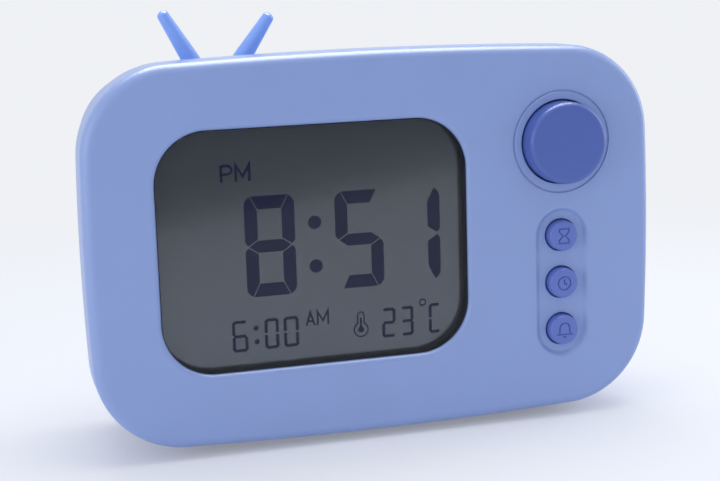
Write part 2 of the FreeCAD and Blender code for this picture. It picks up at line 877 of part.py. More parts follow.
def door_fittings(inner):
    # Two hooks below with their roots, a release tongue above, and three ribs across
    low = bay_z - door_half_height
    high = bay_z + door_half_height
    root = inner + sunk / 3
    solids = []
    for x in (bay_x - hook_x, bay_x + hook_x):
        left = x - hook_width / 2
        outer = inner - hook_drop
        solids.append(block(left, left + hook_width, outer - hook_thickness, outer, low - hook_reach,
                            low + hook_root))
        solids.append(block(left, left + hook_width, outer - sunk / 3, root, low + sunk, low + hook_root))
    solids.append(block(bay_x - tongue_half, bay_x + tongue_half, inner - tongue_thickness, root,
                        high - tongue_low, high - tongue_high))
    for dz in (-door_rib_z, 0, door_rib_z):
        z = bay_z + dz
        solids.append(block(bay_x - door_rib_half_length, bay_x + door_rib_half_length, inner - door_rib_height,
                            root, z - door_rib_half, z + door_rib_half))
    return solids


def battery_door():
    # Flush panel with grip lines for a thumb
    inner = body_depth - door_thickness
    panel = slab(rounded_rectangle(bay_x, bay_z, door_half_width, door_half_height, door_corner, inner),
                 door_thickness)
    lines = []
    for row in range(grip_rows):
        z = bay_z + door_half_height - grip_top - grip_pitch * row
        reach = grip_reach - row
        lines.append(block(bay_x - reach, bay_x + reach, body_depth - grip_depth, body_depth + past,
                           z - grip_half, z + grip_half))
    return panel.fuse(door_fittings(inner)).cut(lines)


def cell_rows():
    # Height of each cell and which way its cap points
    return [("upper", bay_z + cell_pitch, 1), ("middle", bay_z, -1), ("lower", bay_z - cell_pitch, 1)]


def battery(z, way):
    cap = bay_x + way * (bay_half_width - cell_end_gap)
    flat = cap - way * (cell_length + cap_seat)
    body = Part.makeCylinder(cell_radius, cell_length, at(flat, cell_depth, z), Vector(way, 0, 0))
    left, right = sorted((cap, cap - way * cap_height))
    nub = block(left, right, cell_depth - cap_half, cell_depth + cap_half, z - cap_half, z + cap_half)
    return body.fuse(nub)


def battery_contacts():
    # Stamped plate that each cell's cap presses on
    plates = []
    for name, z, way in cell_rows():
        face = bay_x + way * bay_half_width
        left, right = sorted((face, face - way * contact_thickness))
        plates.append(block(left, right, bay_floor + contact_low, bay_floor + contact_high, z - contact_half,
                            z + contact_half))
    return Part.makeCompound(plates)


def battery_springs():
    # Leaf bent to a nose that each cell's flat end presses: distance from the bay's wall, and depth
    nose = 2 * bay_half_width - cell_end_gap - cell_length - cap_seat
    low = bay_floor + contact_low + 0.1
    high = bay_floor + contact_high + 0.1
    strip = leaf_strip
    leaf = [(0, low), (0, high), (strip, high), (strip, low + 2 * strip), (nose - 0.6, cell_depth + 0.1),
            (1.5, high - 0.6), (1.5 + strip, high - strip), (nose, cell_depth), (0.6, low)]
    springs = []
    for name, z, way in cell_rows():
        wall_x = bay_x - way * bay_half_width
        springs.append(upright_slab([(wall_x + way * run, depth) for run, depth in leaf], z - leaf_half,
                                    z + leaf_half))
    return Part.makeCompound(springs)


def speaker():
    # Small dynamic speaker: magnet and basket
    magnet = prism(speaker_x, speaker_z, magnet_radius, magnet_front, basket_front, round_sides)
    basket = prism(speaker_x, speaker_z, speaker_radius, basket_front, body_depth - back_wall, round_sides)
    return magnet.fuse(basket)


def battery_wires():
    # Twin lead from the tub's left wall to the main board
    start = bay_x - bay_half_width - bay_wall
    depth = battery_lead_depth
    drop = start - lead_bend - 2
    return flat_lead([(start, depth), (start - lead_bend, depth), (drop, depth - 2), (drop, board_back)], bay_z)


def speaker_wires():
    x = speaker_lead_x
    drop = x - 3
    route = [(x, basket_front), (x, magnet_front), (drop, magnet_front - lead_bend), (drop, board_back)]
    return flat_lead(route, speaker_z)


def key_ribbon():
    # Flat cable that bridges from the main board to the key board
    top = key_board_back + cable_lift
    under = top - cable_thickness
    outer = block(cable_left, cable_right, board_back, top, cable_low, cable_high)
    outer = outer.makeChamfer(cable_bevel, cable_edges(outer, top))
    inner = block(cable_left + cable_thickness, cable_right - cable_thickness, board_back - past, under,
                  cable_low - past, cable_high + past)
    inner = inner.makeChamfer(cable_bevel - cable_thickness / 2, cable_edges(inner, under))
    below = block(cable_right - cable_end, cable_right + past, board_back - past, key_board_back,
                  cable_low - past, cable_high + past)
    return outer.cut([inner, below])


def cable_edges(shape, depth):
    # The two bends, which run the cable's whole width
    return edges_at(shape, depth, lambda box: box.ZLength > cable_high - cable_low - past)


def pieces():
    made = {
        "front_housing": front_housing(),
        "screen_lens": screen_lens(),
        "lcd_panel": lcd_panel(),
        "lcd_frame": lcd_frame(),
        "light_guide": backlight_plate(guide_front, guide_thickness),
        "reflector_sheet": backlight_plate(sheet_front, sheet_thickness),
        "zebra_strip": zebra_strip(),
        "main_board": main_board(),
        "control_chip": control_chip(),
        "crystal": crystal(),
        "temperature_sensor": temperature_sensor(),
        "night_light_leds": night_light_leds(),
        "board_screws": board_screws(),
        "key_board": key_board(),
        "key_ribbon": key_ribbon(),
        "tact_switches": tact_switches(),
        "encoder_body": encoder_body(),
        "encoder_shaft": encoder_shaft(),
        "encoder_plunger": encoder_plunger(),
        "knob": knob(),
        "rear_housing": rear_housing(),
        "housing_screws": housing_screws(),
        "rubber_feet": rubber_feet(),
        "battery_door": battery_door(),
        "battery_contacts": battery_contacts(),
        "battery_springs": battery_springs(),
        "battery_wires": battery_wires(),
        "speaker": speaker(),
        "speaker_wires": speaker_wires(),
    }
    for name, z in key_centres():
        made[name + "_button"] = key_cap(z)
        made[name + "_plunger"] = switch_plunger(z)
    for name, z, way in cell_rows():
        made["battery_" + name] = battery(z, way)
    for side in aerials:
        made["aerial_" + side] = aerial(side)
    return made


os.makedirs("parts", exist_ok=True)
for node, shape in pieces().items():
    shape.exportStep("parts/" + node + ".step")
    print(node, "solids", len(shape.Solids), "volume", round(shape.Volume / 1000, 2), "cm3")
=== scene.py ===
# A small desk alarm clock with a night light, shaped like a toy television.
# Sizes are in millimetres: x to the right, depth back from the bezel's face, z up from the table.
import bmesh
import bpy
import math
from mathutils import Matrix, Vector


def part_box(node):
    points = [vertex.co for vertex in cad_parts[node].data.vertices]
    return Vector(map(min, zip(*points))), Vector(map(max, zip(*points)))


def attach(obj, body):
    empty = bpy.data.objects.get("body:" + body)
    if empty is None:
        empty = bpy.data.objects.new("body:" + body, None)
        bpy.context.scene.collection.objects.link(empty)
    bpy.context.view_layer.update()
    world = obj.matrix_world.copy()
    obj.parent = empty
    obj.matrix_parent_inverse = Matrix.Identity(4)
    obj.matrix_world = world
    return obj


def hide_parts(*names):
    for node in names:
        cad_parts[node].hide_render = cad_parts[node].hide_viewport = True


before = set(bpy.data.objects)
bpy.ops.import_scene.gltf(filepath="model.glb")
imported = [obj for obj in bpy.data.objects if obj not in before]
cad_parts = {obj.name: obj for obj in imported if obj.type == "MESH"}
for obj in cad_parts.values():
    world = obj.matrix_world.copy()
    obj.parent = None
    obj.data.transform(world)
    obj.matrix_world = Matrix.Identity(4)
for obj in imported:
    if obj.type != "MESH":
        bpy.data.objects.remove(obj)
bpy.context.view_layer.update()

mm = 0.001
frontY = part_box("front_housing")[0].y / mm
tau = 2 * math.pi
print("frame loaded:", len(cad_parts), "nodes")


def place(x, depth, z):
    return Vector((x, frontY + depth, z)) * mm


def toLinear(hexColour):
    channels = [int(hexColour[i:i + 2], 16) / 255 for i in (1, 3, 5)]
    return [c / 12.92 if c <= 0.04045 else ((c + 0.055) / 1.055) ** 2.4 for c in channels] + [1.0]


def addNode(tree, kind, settings=None, links=None):
    # One node: settings are sockets or properties by name, links are the sources of its sockets
    node = tree.nodes.new(kind)
    for name, value in (settings or {}).items():
        if isinstance(name, int) or name in node.inputs:
            node.inputs[name].default_value = value
        else:
            setattr(node, name, value)
    for name, source in (links or {}).items():
        tree.links.new(source, node.inputs[name])
    return node


def newMaterial(name, **sockets):
    # A material with its Principled shader set; returns it, its tree, the shader and the object coordinates
    material = bpy.data.materials.new(name)
    material.use_nodes = True
    tree = material.node_tree
    shader = tree.nodes["Principled BSDF"]
    for socket, value in sockets.items():
        shader.inputs[socket.replace("_", " ")].default_value = value
    return material, tree, shader, addNode(tree, "ShaderNodeTexCoord").outputs["Object"]


def addObject(name, data):
    made = bpy.data.objects.new(name, data)
    bpy.context.scene.collection.objects.link(made)
    return made


# How far the clouds in moulded plastic change its colour and its shine, and how wide they are in mm
moulding = {"tint": 0.03, "tintPatch": 18, "shine": 0.04, "shinePatch": 6}


def mouldedPlastic(name, look):
    # Injection moulded: spark-eroded grain from the tool, faint flow clouds, and shine that varies a little;
    # look has the colour, the roughness, and the grain's width and relief in mm
    material, tree, shader, where = newMaterial(name)
    clouds = addNode(tree, "ShaderNodeTexNoise",
                     {"Scale": 1 / (moulding["tintPatch"] * mm), "Detail": 2.0}, {"Vector": where})
    base, roughness = toLinear(look["colour"])[:3], look["roughness"]
    dark, light = ([min(1.0, c * (1 + part)) for c in base] + [1.0]
                   for part in (-moulding["tint"], moulding["tint"]))
    tint = addNode(tree, "ShaderNodeMix", {"data_type": "RGBA", 6: dark, 7: light},
                   {"Factor": clouds.outputs["Fac"]})
    tree.links.new(tint.outputs[2], shader.inputs["Base Color"])
    shine = addNode(tree, "ShaderNodeTexNoise",
                    {"Scale": 1 / (moulding["shinePatch"] * mm), "Detail": 3.0}, {"Vector": where})
    spread = addNode(tree, "ShaderNodeMapRange",
                     {"To Min": roughness - moulding["shine"], "To Max": roughness + moulding["shine"]},
                     {"Value": shine.outputs["Fac"]})
    tree.links.new(spread.outputs["Result"], shader.inputs["Roughness"])
    sparks = addNode(tree, "ShaderNodeTexNoise",
                     {"Scale": 1 / (look["grain"] * mm), "Detail": 3.0, "Roughness": 0.6}, {"Vector": where})
    bump = addNode(tree, "ShaderNodeBump", {"Strength": 0.5, "Distance": look["relief"] * mm},
                   {"Height": sparks.outputs["Fac"]})
    tree.links.new(bump.outputs["Normal"], shader.inputs["Normal"])
    return material


def mottledFinish(name, first, second, roughness, patch, metallic=0.0, relief=0.0, uneven=0.0, detail=3.0):
    # Two close tones in soft patches, patch millimetres across, which its relief and its shine can follow
    material, tree, shader, where = newMaterial(name, Roughness=roughness, Metallic=metallic)
    cloud = addNode(tree, "ShaderNodeTexNoise", {"Scale": 1 / (patch * mm), "Detail": detail},
                    {"Vector": where}).outputs["Fac"]
    tint = addNode(tree, "ShaderNodeMix", {"data_type": "RGBA", 6: toLinear(first), 7: toLinear(second)},
                   {"Factor": cloud})
    tree.links.new(tint.outputs[2], shader.inputs["Base Color"])
    if uneven:
        shine = addNode(tree, "ShaderNodeMapRange", {"To Min": roughness, "To Max": roughness + uneven},
                        {"Value": cloud})
        tree.links.new(shine.outputs["Result"], shader.inputs["Roughness"])
    if relief:
        bump = addNode(tree, "ShaderNodeBump", {"Strength": 0.6, "Distance": relief * mm}, {"Height": cloud})
        tree.links.new(bump.outputs["Normal"], shader.inputs["Normal"])
    return material


support = 0.06       # narrow flat band beside a fillet, so that a flat face shades flat
creaseAngle = 40     # degrees between two faces from which their edge shows sharp


# Loops: points with outward normals, counter-clockwise seen from the front
def arcPoints(x, z, radius, start, end, steps):
    angles = [start + (end - start) * k / steps for k in range(steps + 1)]
    return [(x + radius * math.cos(a), z + radius * math.sin(a), math.cos(a), math.sin(a)) for a in angles]


def circleLoop(x, z, radius, count=96):
    return arcPoints(x, z, radius, 0, tau, count)[:-1]


def roundedLoop(x, z, halfWidth, halfHeight, radius, steps=20):
    loop = []
    for quarter, (sx, sz) in enumerate(((1, 1), (-1, 1), (-1, -1), (1, -1))):
        start = quarter * tau / 4
        loop += arcPoints(x + sx * (halfWidth - radius), z + sz * (halfHeight - radius), radius, start,
                          start + tau / 4, steps)
    return loop


def stadiumLoop(x, z, halfRun, radius, steps=48):
    upper = arcPoints(x, z + halfRun, radius, 0, tau / 2, steps)
    lower = arcPoints(x, z - halfRun, radius, tau / 2, tau, steps)
    return upper + lower


def bowedLoop(shape):
    # Bowed television outline: four arcs for the sides, four tangent arcs for the corners
    w, h = shape["halfWidth"], shape["halfHeight"]
    sideArc = (h ** 2 + shape["sideBow"] ** 2) / (2 * shape["sideBow"])
    topArc = (w ** 2 + shape["topBow"] ** 2) / (2 * shape["topBow"])
    sideX, topZ = w - sideArc, h - topArc
    gap = math.hypot(sideX, topZ)
    sideReach, topReach = sideArc - shape["corner"], topArc - shape["corner"]
    along = (sideReach ** 2 - topReach ** 2 + gap ** 2) / (2 * gap)
    across = math.sqrt(sideReach ** 2 - along ** 2)
    ux, uz = -sideX / gap, topZ / gap
    cx, cz = sideX + ux * along - uz * across, uz * along + ux * across
    sideAngle, topAngle = math.atan2(cz, cx - sideX), math.atan2(cz - topZ, cx)
    quarter = arcPoints(sideX, 0, sideArc, 0, sideAngle, 12)[:-1]
    quarter += arcPoints(cx, cz, shape["corner"], sideAngle, topAngle, 32)[:-1]
    quarter += arcPoints(0, topZ, topArc, topAngle, tau / 4, 20)
    loop = list(quarter)
    loop += [(-x, z, -nx, nz) for x, z, nx, nz in quarter[-2::-1]]
    loop += [(-x, -z, -nx, -nz) for x, z, nx, nz in quarter[1:]]
    loop += [(x, -z, nx, -nz) for x, z, nx, nz in quarter[-2:0:-1]]
    return [(x, z + shape["middleZ"], nx, nz) for x, z, nx, nz in loop]


def ring(mesh, loop, inset, depth):
    return [mesh.verts.new(place(x - nx * inset, depth, z - nz * inset)) for x, z, nx, nz in loop]


def bridge(mesh, low, high):
    for k in range(len(low)):
        after = (k + 1) % len(low)
        mesh.faces.new((low[k], low[after], high[after], high[k]))


def skin(mesh, loop, profile):
    # The loop carried through a profile of (inset, depth); returns the first and last rings
    rings = [ring(mesh, loop, inset, depth) for inset, depth in profile]
    for low, high in zip(rings, rings[1:]):
        bridge(mesh, low, high)
    return rings[0], rings[-1]


def fillFlat(mesh, rings):
    # One flat face bounded by rings, the first outside and the others holes in it
    edges = []
    for loop in rings:
        edges += [mesh.edges.get((loop[k - 1], loop[k])) or mesh.edges.new((loop[k - 1], loop[k]))
                  for k in range(len(loop))]
    bmesh.ops.triangle_fill(mesh, use_beauty=True, edges=edges)


def fillet(inset, depth, radius, start, end, steps=8):
    # Arc of a profile about a centre in (inset, depth); angles in quarter turns
    turns = [(start + (end - start) * k / steps) * tau / 4 for k in range(steps + 1)]
    return [(inset + radius * math.cos(t), depth + radius * math.sin(t)) for t in turns]


def roundedRim(edge, depth, steps):
    # Profile from a flat face at this depth round its outer edge to the side
    return [(edge + support, depth)] + fillet(edge, depth + edge, edge, 3, 2, steps)


def roundedMouth(edge, depth, steps):
    # Profile from a flat face at this depth round the edge of an opening to its side
    return [(-edge - support, depth)] + fillet(-edge, depth + edge, edge, 3, 4, steps)


def smoothed(piece):
    piece.data.shade_smooth()
    piece.data.set_sharp_from_angle(angle=math.radians(creaseAngle))
    return piece


def finishMesh(name, mesh, material):
    bmesh.ops.remove_doubles(mesh, verts=mesh.verts, dist=1e-7)
    bmesh.ops.recalc_face_normals(mesh, faces=mesh.faces)
    data = bpy.data.meshes.new(name)
    mesh.to_mesh(data)
    mesh.free()
    data.materials.append(material)
    return smoothed(addObject(name, data))


def standFor(piece, body, slot, *nodes):
    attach(piece, body)
    if nodes:
        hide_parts(*nodes)


# Camera at the photograph's viewing angle
cameraPlan = {"place": (-98.73, -346.2, 110.65), "forward": (0.2688, 0.9464, -0.179),
              "up": (0.0793, 0.1635, 0.9833), "lens": 74.43}


def addCamera(plan):
    data = bpy.data.cameras.new("camera")
    data.lens = plan["lens"]
    data.sensor_width = 36
    data.clip_start = 0.01
    camera = addObject("camera", data)
    back = -Vector(plan["forward"]).normalized()
    right = Vector(plan["up"]).cross(back).normalized()
    up = back.cross(right)
    camera.matrix_world = Matrix((right, up, back)).transposed().to_4x4()
    camera.location = Vector(plan["place"]) * mm
    bpy.context.scene.camera = camera


addCamera(cameraPlan)

# Front housing: ABS moulded in periwinkle, satin from a fine spark-eroded tool
bezel = {"halfWidth": 69.0, "halfHeight": 45.35, "sideBow": 1.6, "topBow": 2.1, "corner": 21.2,
         "middleZ": 47.15, "depth": 11.0, "edge": 2.4, "wall": 2.2, "faceWall": 2.4, "backEdge": 0.25,
         "colour": "#8a9fd1", "roughness": 0.36, "grain": 0.35, "relief": 0.012}
window = {"x": -15.6, "z": 48.0, "halfWidth": 37.0, "halfHeight": 28.2, "corner": 12.3, "edge": 1.2}
dial = {"x": 45.6, "z": 68.55, "bore": 10.15, "boreEdge": 0.25, "wellFloor": 5.4, "wellEnd": 7.2,
        "wellWall": 1.7, "bush": 3.8, "groove": 12.2, "grooveWidth": 0.4, "grooveDepth": 0.35,
        "grooveEdge": 0.08}
dish = {"x": 45.6, "z": 34.0, "pitch": 11.7, "mouth": 6.75, "floor": 5.8, "depth": 1.0, "soft": 0.9,
        "hole": 3.98, "holeEdge": 0.2}


def frontHousing():
    mesh = bmesh.new()
    outline = bowedLoop(bezel)
    edge, wall, back, soft = bezel["edge"], bezel["wall"], bezel["depth"], bezel["backEdge"]
    profile = [(wall, bezel["faceWall"]), (wall, back - soft), (wall - soft, back), (soft, back)]
    profile += fillet(soft, back - soft, soft, 1, 2, 3)[1:]
    profile += fillet(edge, edge, edge, 2, 3, 12) + [(edge + support, 0)]
    inside, face = skin(mesh, outline, profile)

    # Window with its rounded mouth
    frameLoop = roundedLoop(window["x"], window["z"], window["halfWidth"], window["halfHeight"],
                            window["corner"])
    mouth = roundedMouth(window["edge"], 0, 8) + [(0, bezel["faceWall"])]
    windowFace, windowBack = skin(mesh, frameLoop, mouth)

    # Groove round the knob, then its well
    half, low, chamfer = dial["grooveWidth"] / 2, dial["grooveDepth"], dial["grooveEdge"]
    groove = circleLoop(dial["x"], dial["z"], dial["groove"], 128)
    cut = [(-half - chamfer - support, 0), (-half - chamfer, 0), (-half, chamfer), (-half, low),
           (half, low), (half, chamfer), (half + chamfer, 0), (half + chamfer + support, 0)]
    grooveFace, grooveInner = skin(mesh, groove, cut)
    bore = circleLoop(dial["x"], dial["z"], dial["bore"], 128)
    bush = dial["bore"] - dial["bush"]
    boss = -dial["wellWall"]
    well = roundedMouth(dial["boreEdge"], 0, 4)
    well += [(0, dial["wellFloor"]), (bush, dial["wellFloor"]), (bush, dial["wellEnd"]),
             (boss, dial["wellEnd"]), (boss, bezel["faceWall"])]
    wellFace, bossBack = skin(mesh, bore, well)
    bridge(mesh, grooveInner, wellFace)

    # Dish round the keys: soft lip, sloped side, soft foot
    lip = stadiumLoop(dish["x"], dish["z"], dish["pitch"], dish["mouth"])
    slope = math.atan2(dish["depth"], dish["mouth"] - dish["floor"]) / (tau / 4)
    soft = dish["soft"]
    reach = soft * math.tan(slope * tau / 8)
    side = [(-reach - support, 0)] + fillet(-reach, soft, soft, 3, 3 + slope, 6)
    floor = dish["mouth"] - dish["floor"]
    side += fillet(floor + reach, dish["depth"] - soft, soft, 1 + slope, 1, 6)
    side += [(floor + reach + support, dish["depth"])]
    lipFace, dishFloor = skin(mesh, lip, side)
    holes = []
    for row in (1, 0, -1):
        hole = circleLoop(dish["x"], dish["z"] + row * dish["pitch"], dish["hole"], 72)
        sides = roundedMouth(dish["holeEdge"], dish["depth"], 4) + [(0, bezel["faceWall"])]
        holes.append(skin(mesh, hole, sides))

    fillFlat(mesh, [face, windowFace, grooveFace, lipFace])
    fillFlat(mesh, [dishFloor] + [first for first, last in holes])
    fillFlat(mesh, [inside, windowBack, bossBack] + [last for first, last in holes])
    plastic = mouldedPlastic("mouldedAbsPeriwinkle", bezel)
    piece = finishMesh("bezelShell", mesh, plastic)
    standFor(piece, "clock", "housing", "front_housing")
    return plastic


housingPlastic = frontHousing()
print("front housing done")

# Window lens: smoked acrylic, polished, its back face against the display's frame
# The two dark tones for the lens's sides are painted shade for the unlit wall of the window, seen through
# the lens
lens = {"face": 0.7, "back": 3.6, "gap": 0.1, "flange": 2.2, "edge": 0.2, "smoke": "#06080c", "veil": 0.3,
        "roughness": 0.03, "sideShade": ("#0d1122", "#12172b")}


def smokedAcrylic():
    # Dyed right through, so it holds back a third of the display's light; its polished face mirrors the room
    material, tree, shader, where = newMaterial("polishedSmokedAcrylic", Alpha=lens["veil"], IOR=1.49)
    shader.inputs["Base Color"].default_value = toLinear(lens["smoke"])
    haze = addNode(tree, "ShaderNodeTexNoise", {"Scale": 1 / (9 * mm), "Detail": 2.0}, {"Vector": where})
    polish = lens["roughness"]
    shine = addNode(tree, "ShaderNodeMapRange", {"To Min": polish, "To Max": polish * 2},
                    {"Value": haze.outputs["Fac"]})
    tree.links.new(shine.outputs["Result"], shader.inputs["Roughness"])
    return material


def screenLens():
    mesh = bmesh.new()
    gap = lens["gap"]
    loop = roundedLoop(window["x"], window["z"], window["halfWidth"] - gap, window["halfHeight"] - gap,
                       window["corner"] - gap)
    wide = -lens["flange"]
    profile = roundedRim(lens["edge"], lens["face"], 4)
    profile += [(0, bezel["faceWall"]), (wide, bezel["faceWall"]), (wide, lens["back"])]
    for end in skin(mesh, loop, profile):
        fillFlat(mesh, [end])
    piece = finishMesh("windowLens", mesh, smokedAcrylic())
    # Its sides are painted near black: painted shade that stands for the unlit wall between the lens and the
    # display
    piece.data.materials.append(mottledFinish("paintedShadeLensSides", *lens["sideShade"], 0.5, 4.0))
    for face in piece.data.polygons:
        face.material_index = int(abs(face.normal.y) < 0.5)
    standFor(piece, "clock", "lens", "screen_lens")


screenLens()

# Knob: ABS in a deeper blue, hollow, on its hub
knob = {"radius": 9.8, "proud": 4.8, "edge": 1.3, "skirtEnd": 3.4, "shell": 1.5, "hub": 4.6, "hubEnd": 2.8,
        "shaft": 3.02, "shaftTip": -2.7, "flat": 1.52, "chamfer": 0.2,
        "colour": "#4d63ac", "roughness": 0.32, "grain": 0.3, "relief": 0.008}


def knobTurned():
    mesh = bmesh.new()
    loop = circleLoop(dial["x"], dial["z"], knob["radius"], 128)
    roof, shell = knob["shell"] - knob["proud"], knob["shell"]
    toHub = knob["radius"] - knob["hub"]
    profile = roundedRim(knob["edge"], -knob["proud"], 12)
    skirt, chamfer = knob["skirtEnd"], knob["chamfer"]
    profile += [(0, skirt - chamfer), (chamfer, skirt), (shell, skirt), (shell, roof), (toHub, roof),
                (toHub, knob["hubEnd"])]
    face, hubEnd = skin(mesh, loop, profile)
    fillFlat(mesh, [face])
    bore = [(x, min(z, dial["z"] + knob["flat"]), nx, nz)
            for x, z, nx, nz in circleLoop(dial["x"], dial["z"], knob["shaft"], 128)]
    mouth, end = skin(mesh, bore, [(0, knob["hubEnd"]), (0, knob["shaftTip"])])
    bridge(mesh, hubEnd, mouth)
    fillFlat(mesh, [end])
    plastic = mouldedPlastic("mouldedAbsBlue", knob)
    piece = finishMesh("knobCap", mesh, plastic)
    standFor(piece, "knob", "knob", "knob")


knobTurned()

# Keys: the knob's plastic a shade lighter, each with a line symbol sunk in its cap
keyCap = {"radius": 3.66, "proud": 1.3, "edge": 0.7, "flangeHalf": 4.8, "flange": 1.0, "stemHalf": 1.4,
          "stemEnd": 9.6, "behind": 2.5, "line": 0.38, "sunk": 0.3, "clear": 0.5,
          "colour": "#5f73be", "roughness": 0.4, "grain": 0.3, "relief": 0.008}


def ribbon(mesh, points, width, front, back, closed=False):
    # Flat bar of a given width along a route of (x, z)
    count = len(points)
    sides = ([], [])
    for k, (x, z) in enumerate(points):
        before = points[k - 1] if k or closed else None
        after = points[(k + 1) % count] if k < count - 1 or closed else None
        one = math.atan2(z - before[1], x - before[0]) if before else None
        two = math.atan2(after[1] - z, after[0] - x) if after else None
        one = two if one is None else one
        two = one if two is None else two
        turn = (two - one + math.pi) % tau - math.pi
        normal = one + turn / 2 + tau / 4
        reach = width / 2 / math.cos(turn / 2)
        for side, sign in zip(sides, (1, -1)):
            side.append((x + sign * reach * math.cos(normal), z + sign * reach * math.sin(normal)))
    levels = []
    for depth in (front, back):
        levels.append([[mesh.verts.new(place(x, depth, z)) for x, z in side] for side in sides])
    (leftFront, rightFront), (leftBack, rightBack) = levels
    last = count if closed else count - 1
    for k in range(last):
        n = (k + 1) % count
        mesh.faces.new((leftFront[k], leftFront[n], rightFront[n], rightFront[k]))
        mesh.faces.new((leftBack[n], leftBack[k], rightBack[k], rightBack[n]))
        mesh.faces.new((leftFront[n], leftFront[k], leftBack[k], leftBack[n]))
        mesh.faces.new((rightFront[k], rightFront[n], rightBack[n], rightBack[k]))
    if not closed:
        mesh.faces.new((leftFront[0], rightFront[0], rightBack[0], leftBack[0]))
        mesh.faces.new((rightFront[-1], leftFront[-1], leftBack[-1], rightBack[-1]))


def plate(mesh, points, front, back):
    # Flat shape with a thickness, from its outline
    levels = [[mesh.verts.new(place(x, depth, z)) for x, z in points] for depth in (front, back)]
    mesh.faces.new(levels[0])
    mesh.faces.new(levels[1][::-1])
    bridge(mesh, levels[1], levels[0])


def arcRoute(x, z, radius, start, end, steps=24):
    # Points of an arc without their normals; angles in degrees
    points = arcPoints(x, z, radius, math.radians(start), math.radians(end), steps)
    return [(px, pz) for px, pz, nx, nz in points]


def dotOutline(x, z, radius):
    return arcRoute(x, z, radius, 0, 345, 23)


def symbolLines(name):
    # Routes of each symbol in mm from the cap's middle, and whether they close
    if name == "timer":
        sand = [(-1.25, 1.75), (1.25, 1.75), (1.25, 0.95), (0.25, 0.0), (1.25, -0.95), (1.25, -1.75),
                (-1.25, -1.75), (-1.25, -0.95), (-0.25, 0.0), (-1.25, 0.95)]
        return [(sand, True)]
    if name == "clock":
        return [(arcRoute(0, 0, 1.6, 0, 345), True), ([(0, 1.0), (0, 0), (0.7, -0.35)], False)]
    dome = arcRoute(0, 0.45, 1.3, 180, 0, 16)
    bell = [(-1.75, -1.05), (-1.3, -0.6)] + dome + [(1.3, -0.6), (1.75, -1.05)]
    return [(bell, True), ([(-0.35, -1.65), (0.35, -1.65)], False)]


def carve(piece, cutter, operation="DIFFERENCE"):
    # Takes the cutter out of the piece, or adds it, and leaves a plain mesh
    knife = piece.modifiers.new("carve", "BOOLEAN")
    knife.operation = operation
    knife.object = cutter
    knife.solver = "MANIFOLD"
    graph = bpy.context.evaluated_depsgraph_get()
    carved = bpy.data.meshes.new_from_object(piece.evaluated_get(graph))
    piece.modifiers.remove(knife)
    old = piece.data
    piece.data = carved
    bpy.data.meshes.remove(old)
    bpy.data.objects.remove(cutter)


def squareLoop(x, z, half, count):
    # A square with as many points as the circle it joins
    loop = []
    for px, pz, nx, nz in circleLoop(0, 0, 1, count):
        reach = half / max(abs(px), abs(pz))
        loop.append((x + px * reach, z + pz * reach, 0, 0))
    return loop


def keyPiece(name, z, plastic):
    mesh = bmesh.new()
    count = 72
    front = -keyCap["proud"]
    cap = circleLoop(dish["x"], z, keyCap["radius"], count)
    face, back = skin(mesh, cap, roundedRim(keyCap["edge"], front, 8) + [(0, keyCap["behind"])])
    fillFlat(mesh, [face])
    step = keyCap["behind"] + keyCap["flange"]
    square = squareLoop(dish["x"], z, keyCap["flangeHalf"], count)
    flangeFront, flangeBack = skin(mesh, square, [(0, keyCap["behind"]), (0, step)])
    bridge(mesh, back, flangeFront)
    stem = squareLoop(dish["x"], z, keyCap["stemHalf"], count)
    stemFront, stemEnd = skin(mesh, stem, [(0, step), (0, keyCap["stemEnd"])])
    bridge(mesh, flangeBack, stemFront)
    fillFlat(mesh, [stemEnd])
    piece = finishMesh(name + "Key", mesh, plastic)
    lines = bmesh.new()
    for route, closed in symbolLines(name):
        points = [(dish["x"] + dx, z + dz) for dx, dz in route]
        ribbon(lines, points, keyCap["line"], front - keyCap["clear"], front + keyCap["sunk"], closed)
    carve(piece, finishMesh(name + "Cutter", lines, plastic))
    smoothed(piece)
    standFor(piece, name + "_key", "keys", name + "_button")


keyPlastic = mouldedPlastic("mouldedAbsBlueKeys", keyCap)
for row, name in enumerate(("timer", "clock", "alarm")):
    keyPiece(name, dish["z"] + (1 - row) * dish["pitch"], keyPlastic)
print("knob and keys done")

# Aerials: tapered ABS rods with round tips, seated on the roof of the back housing
aerial = {"depth": 20.0, "left": ((-38.6, 89.4), (-45.6, 101.6)), "right": ((-28.2, 89.8), (-20.7, 100.2)),
          "foot": 2.25, "tip": 1.4, "blunt": 0.75, "sides": 48, "colour": "#82a7f0", "roughness": 0.3,
          "grain": 0.3, "relief": 0.006, "roofStep": 3.2}


def roofHeight(x):
    # Top of the back housing at this x
    arc = (bezel["halfWidth"] ** 2 + bezel["topBow"] ** 2) / (2 * bezel["topBow"])
    lift = math.sqrt((arc - aerial["roofStep"]) ** 2 - x ** 2)
    return bezel["middleZ"] + bezel["halfHeight"] - arc + lift


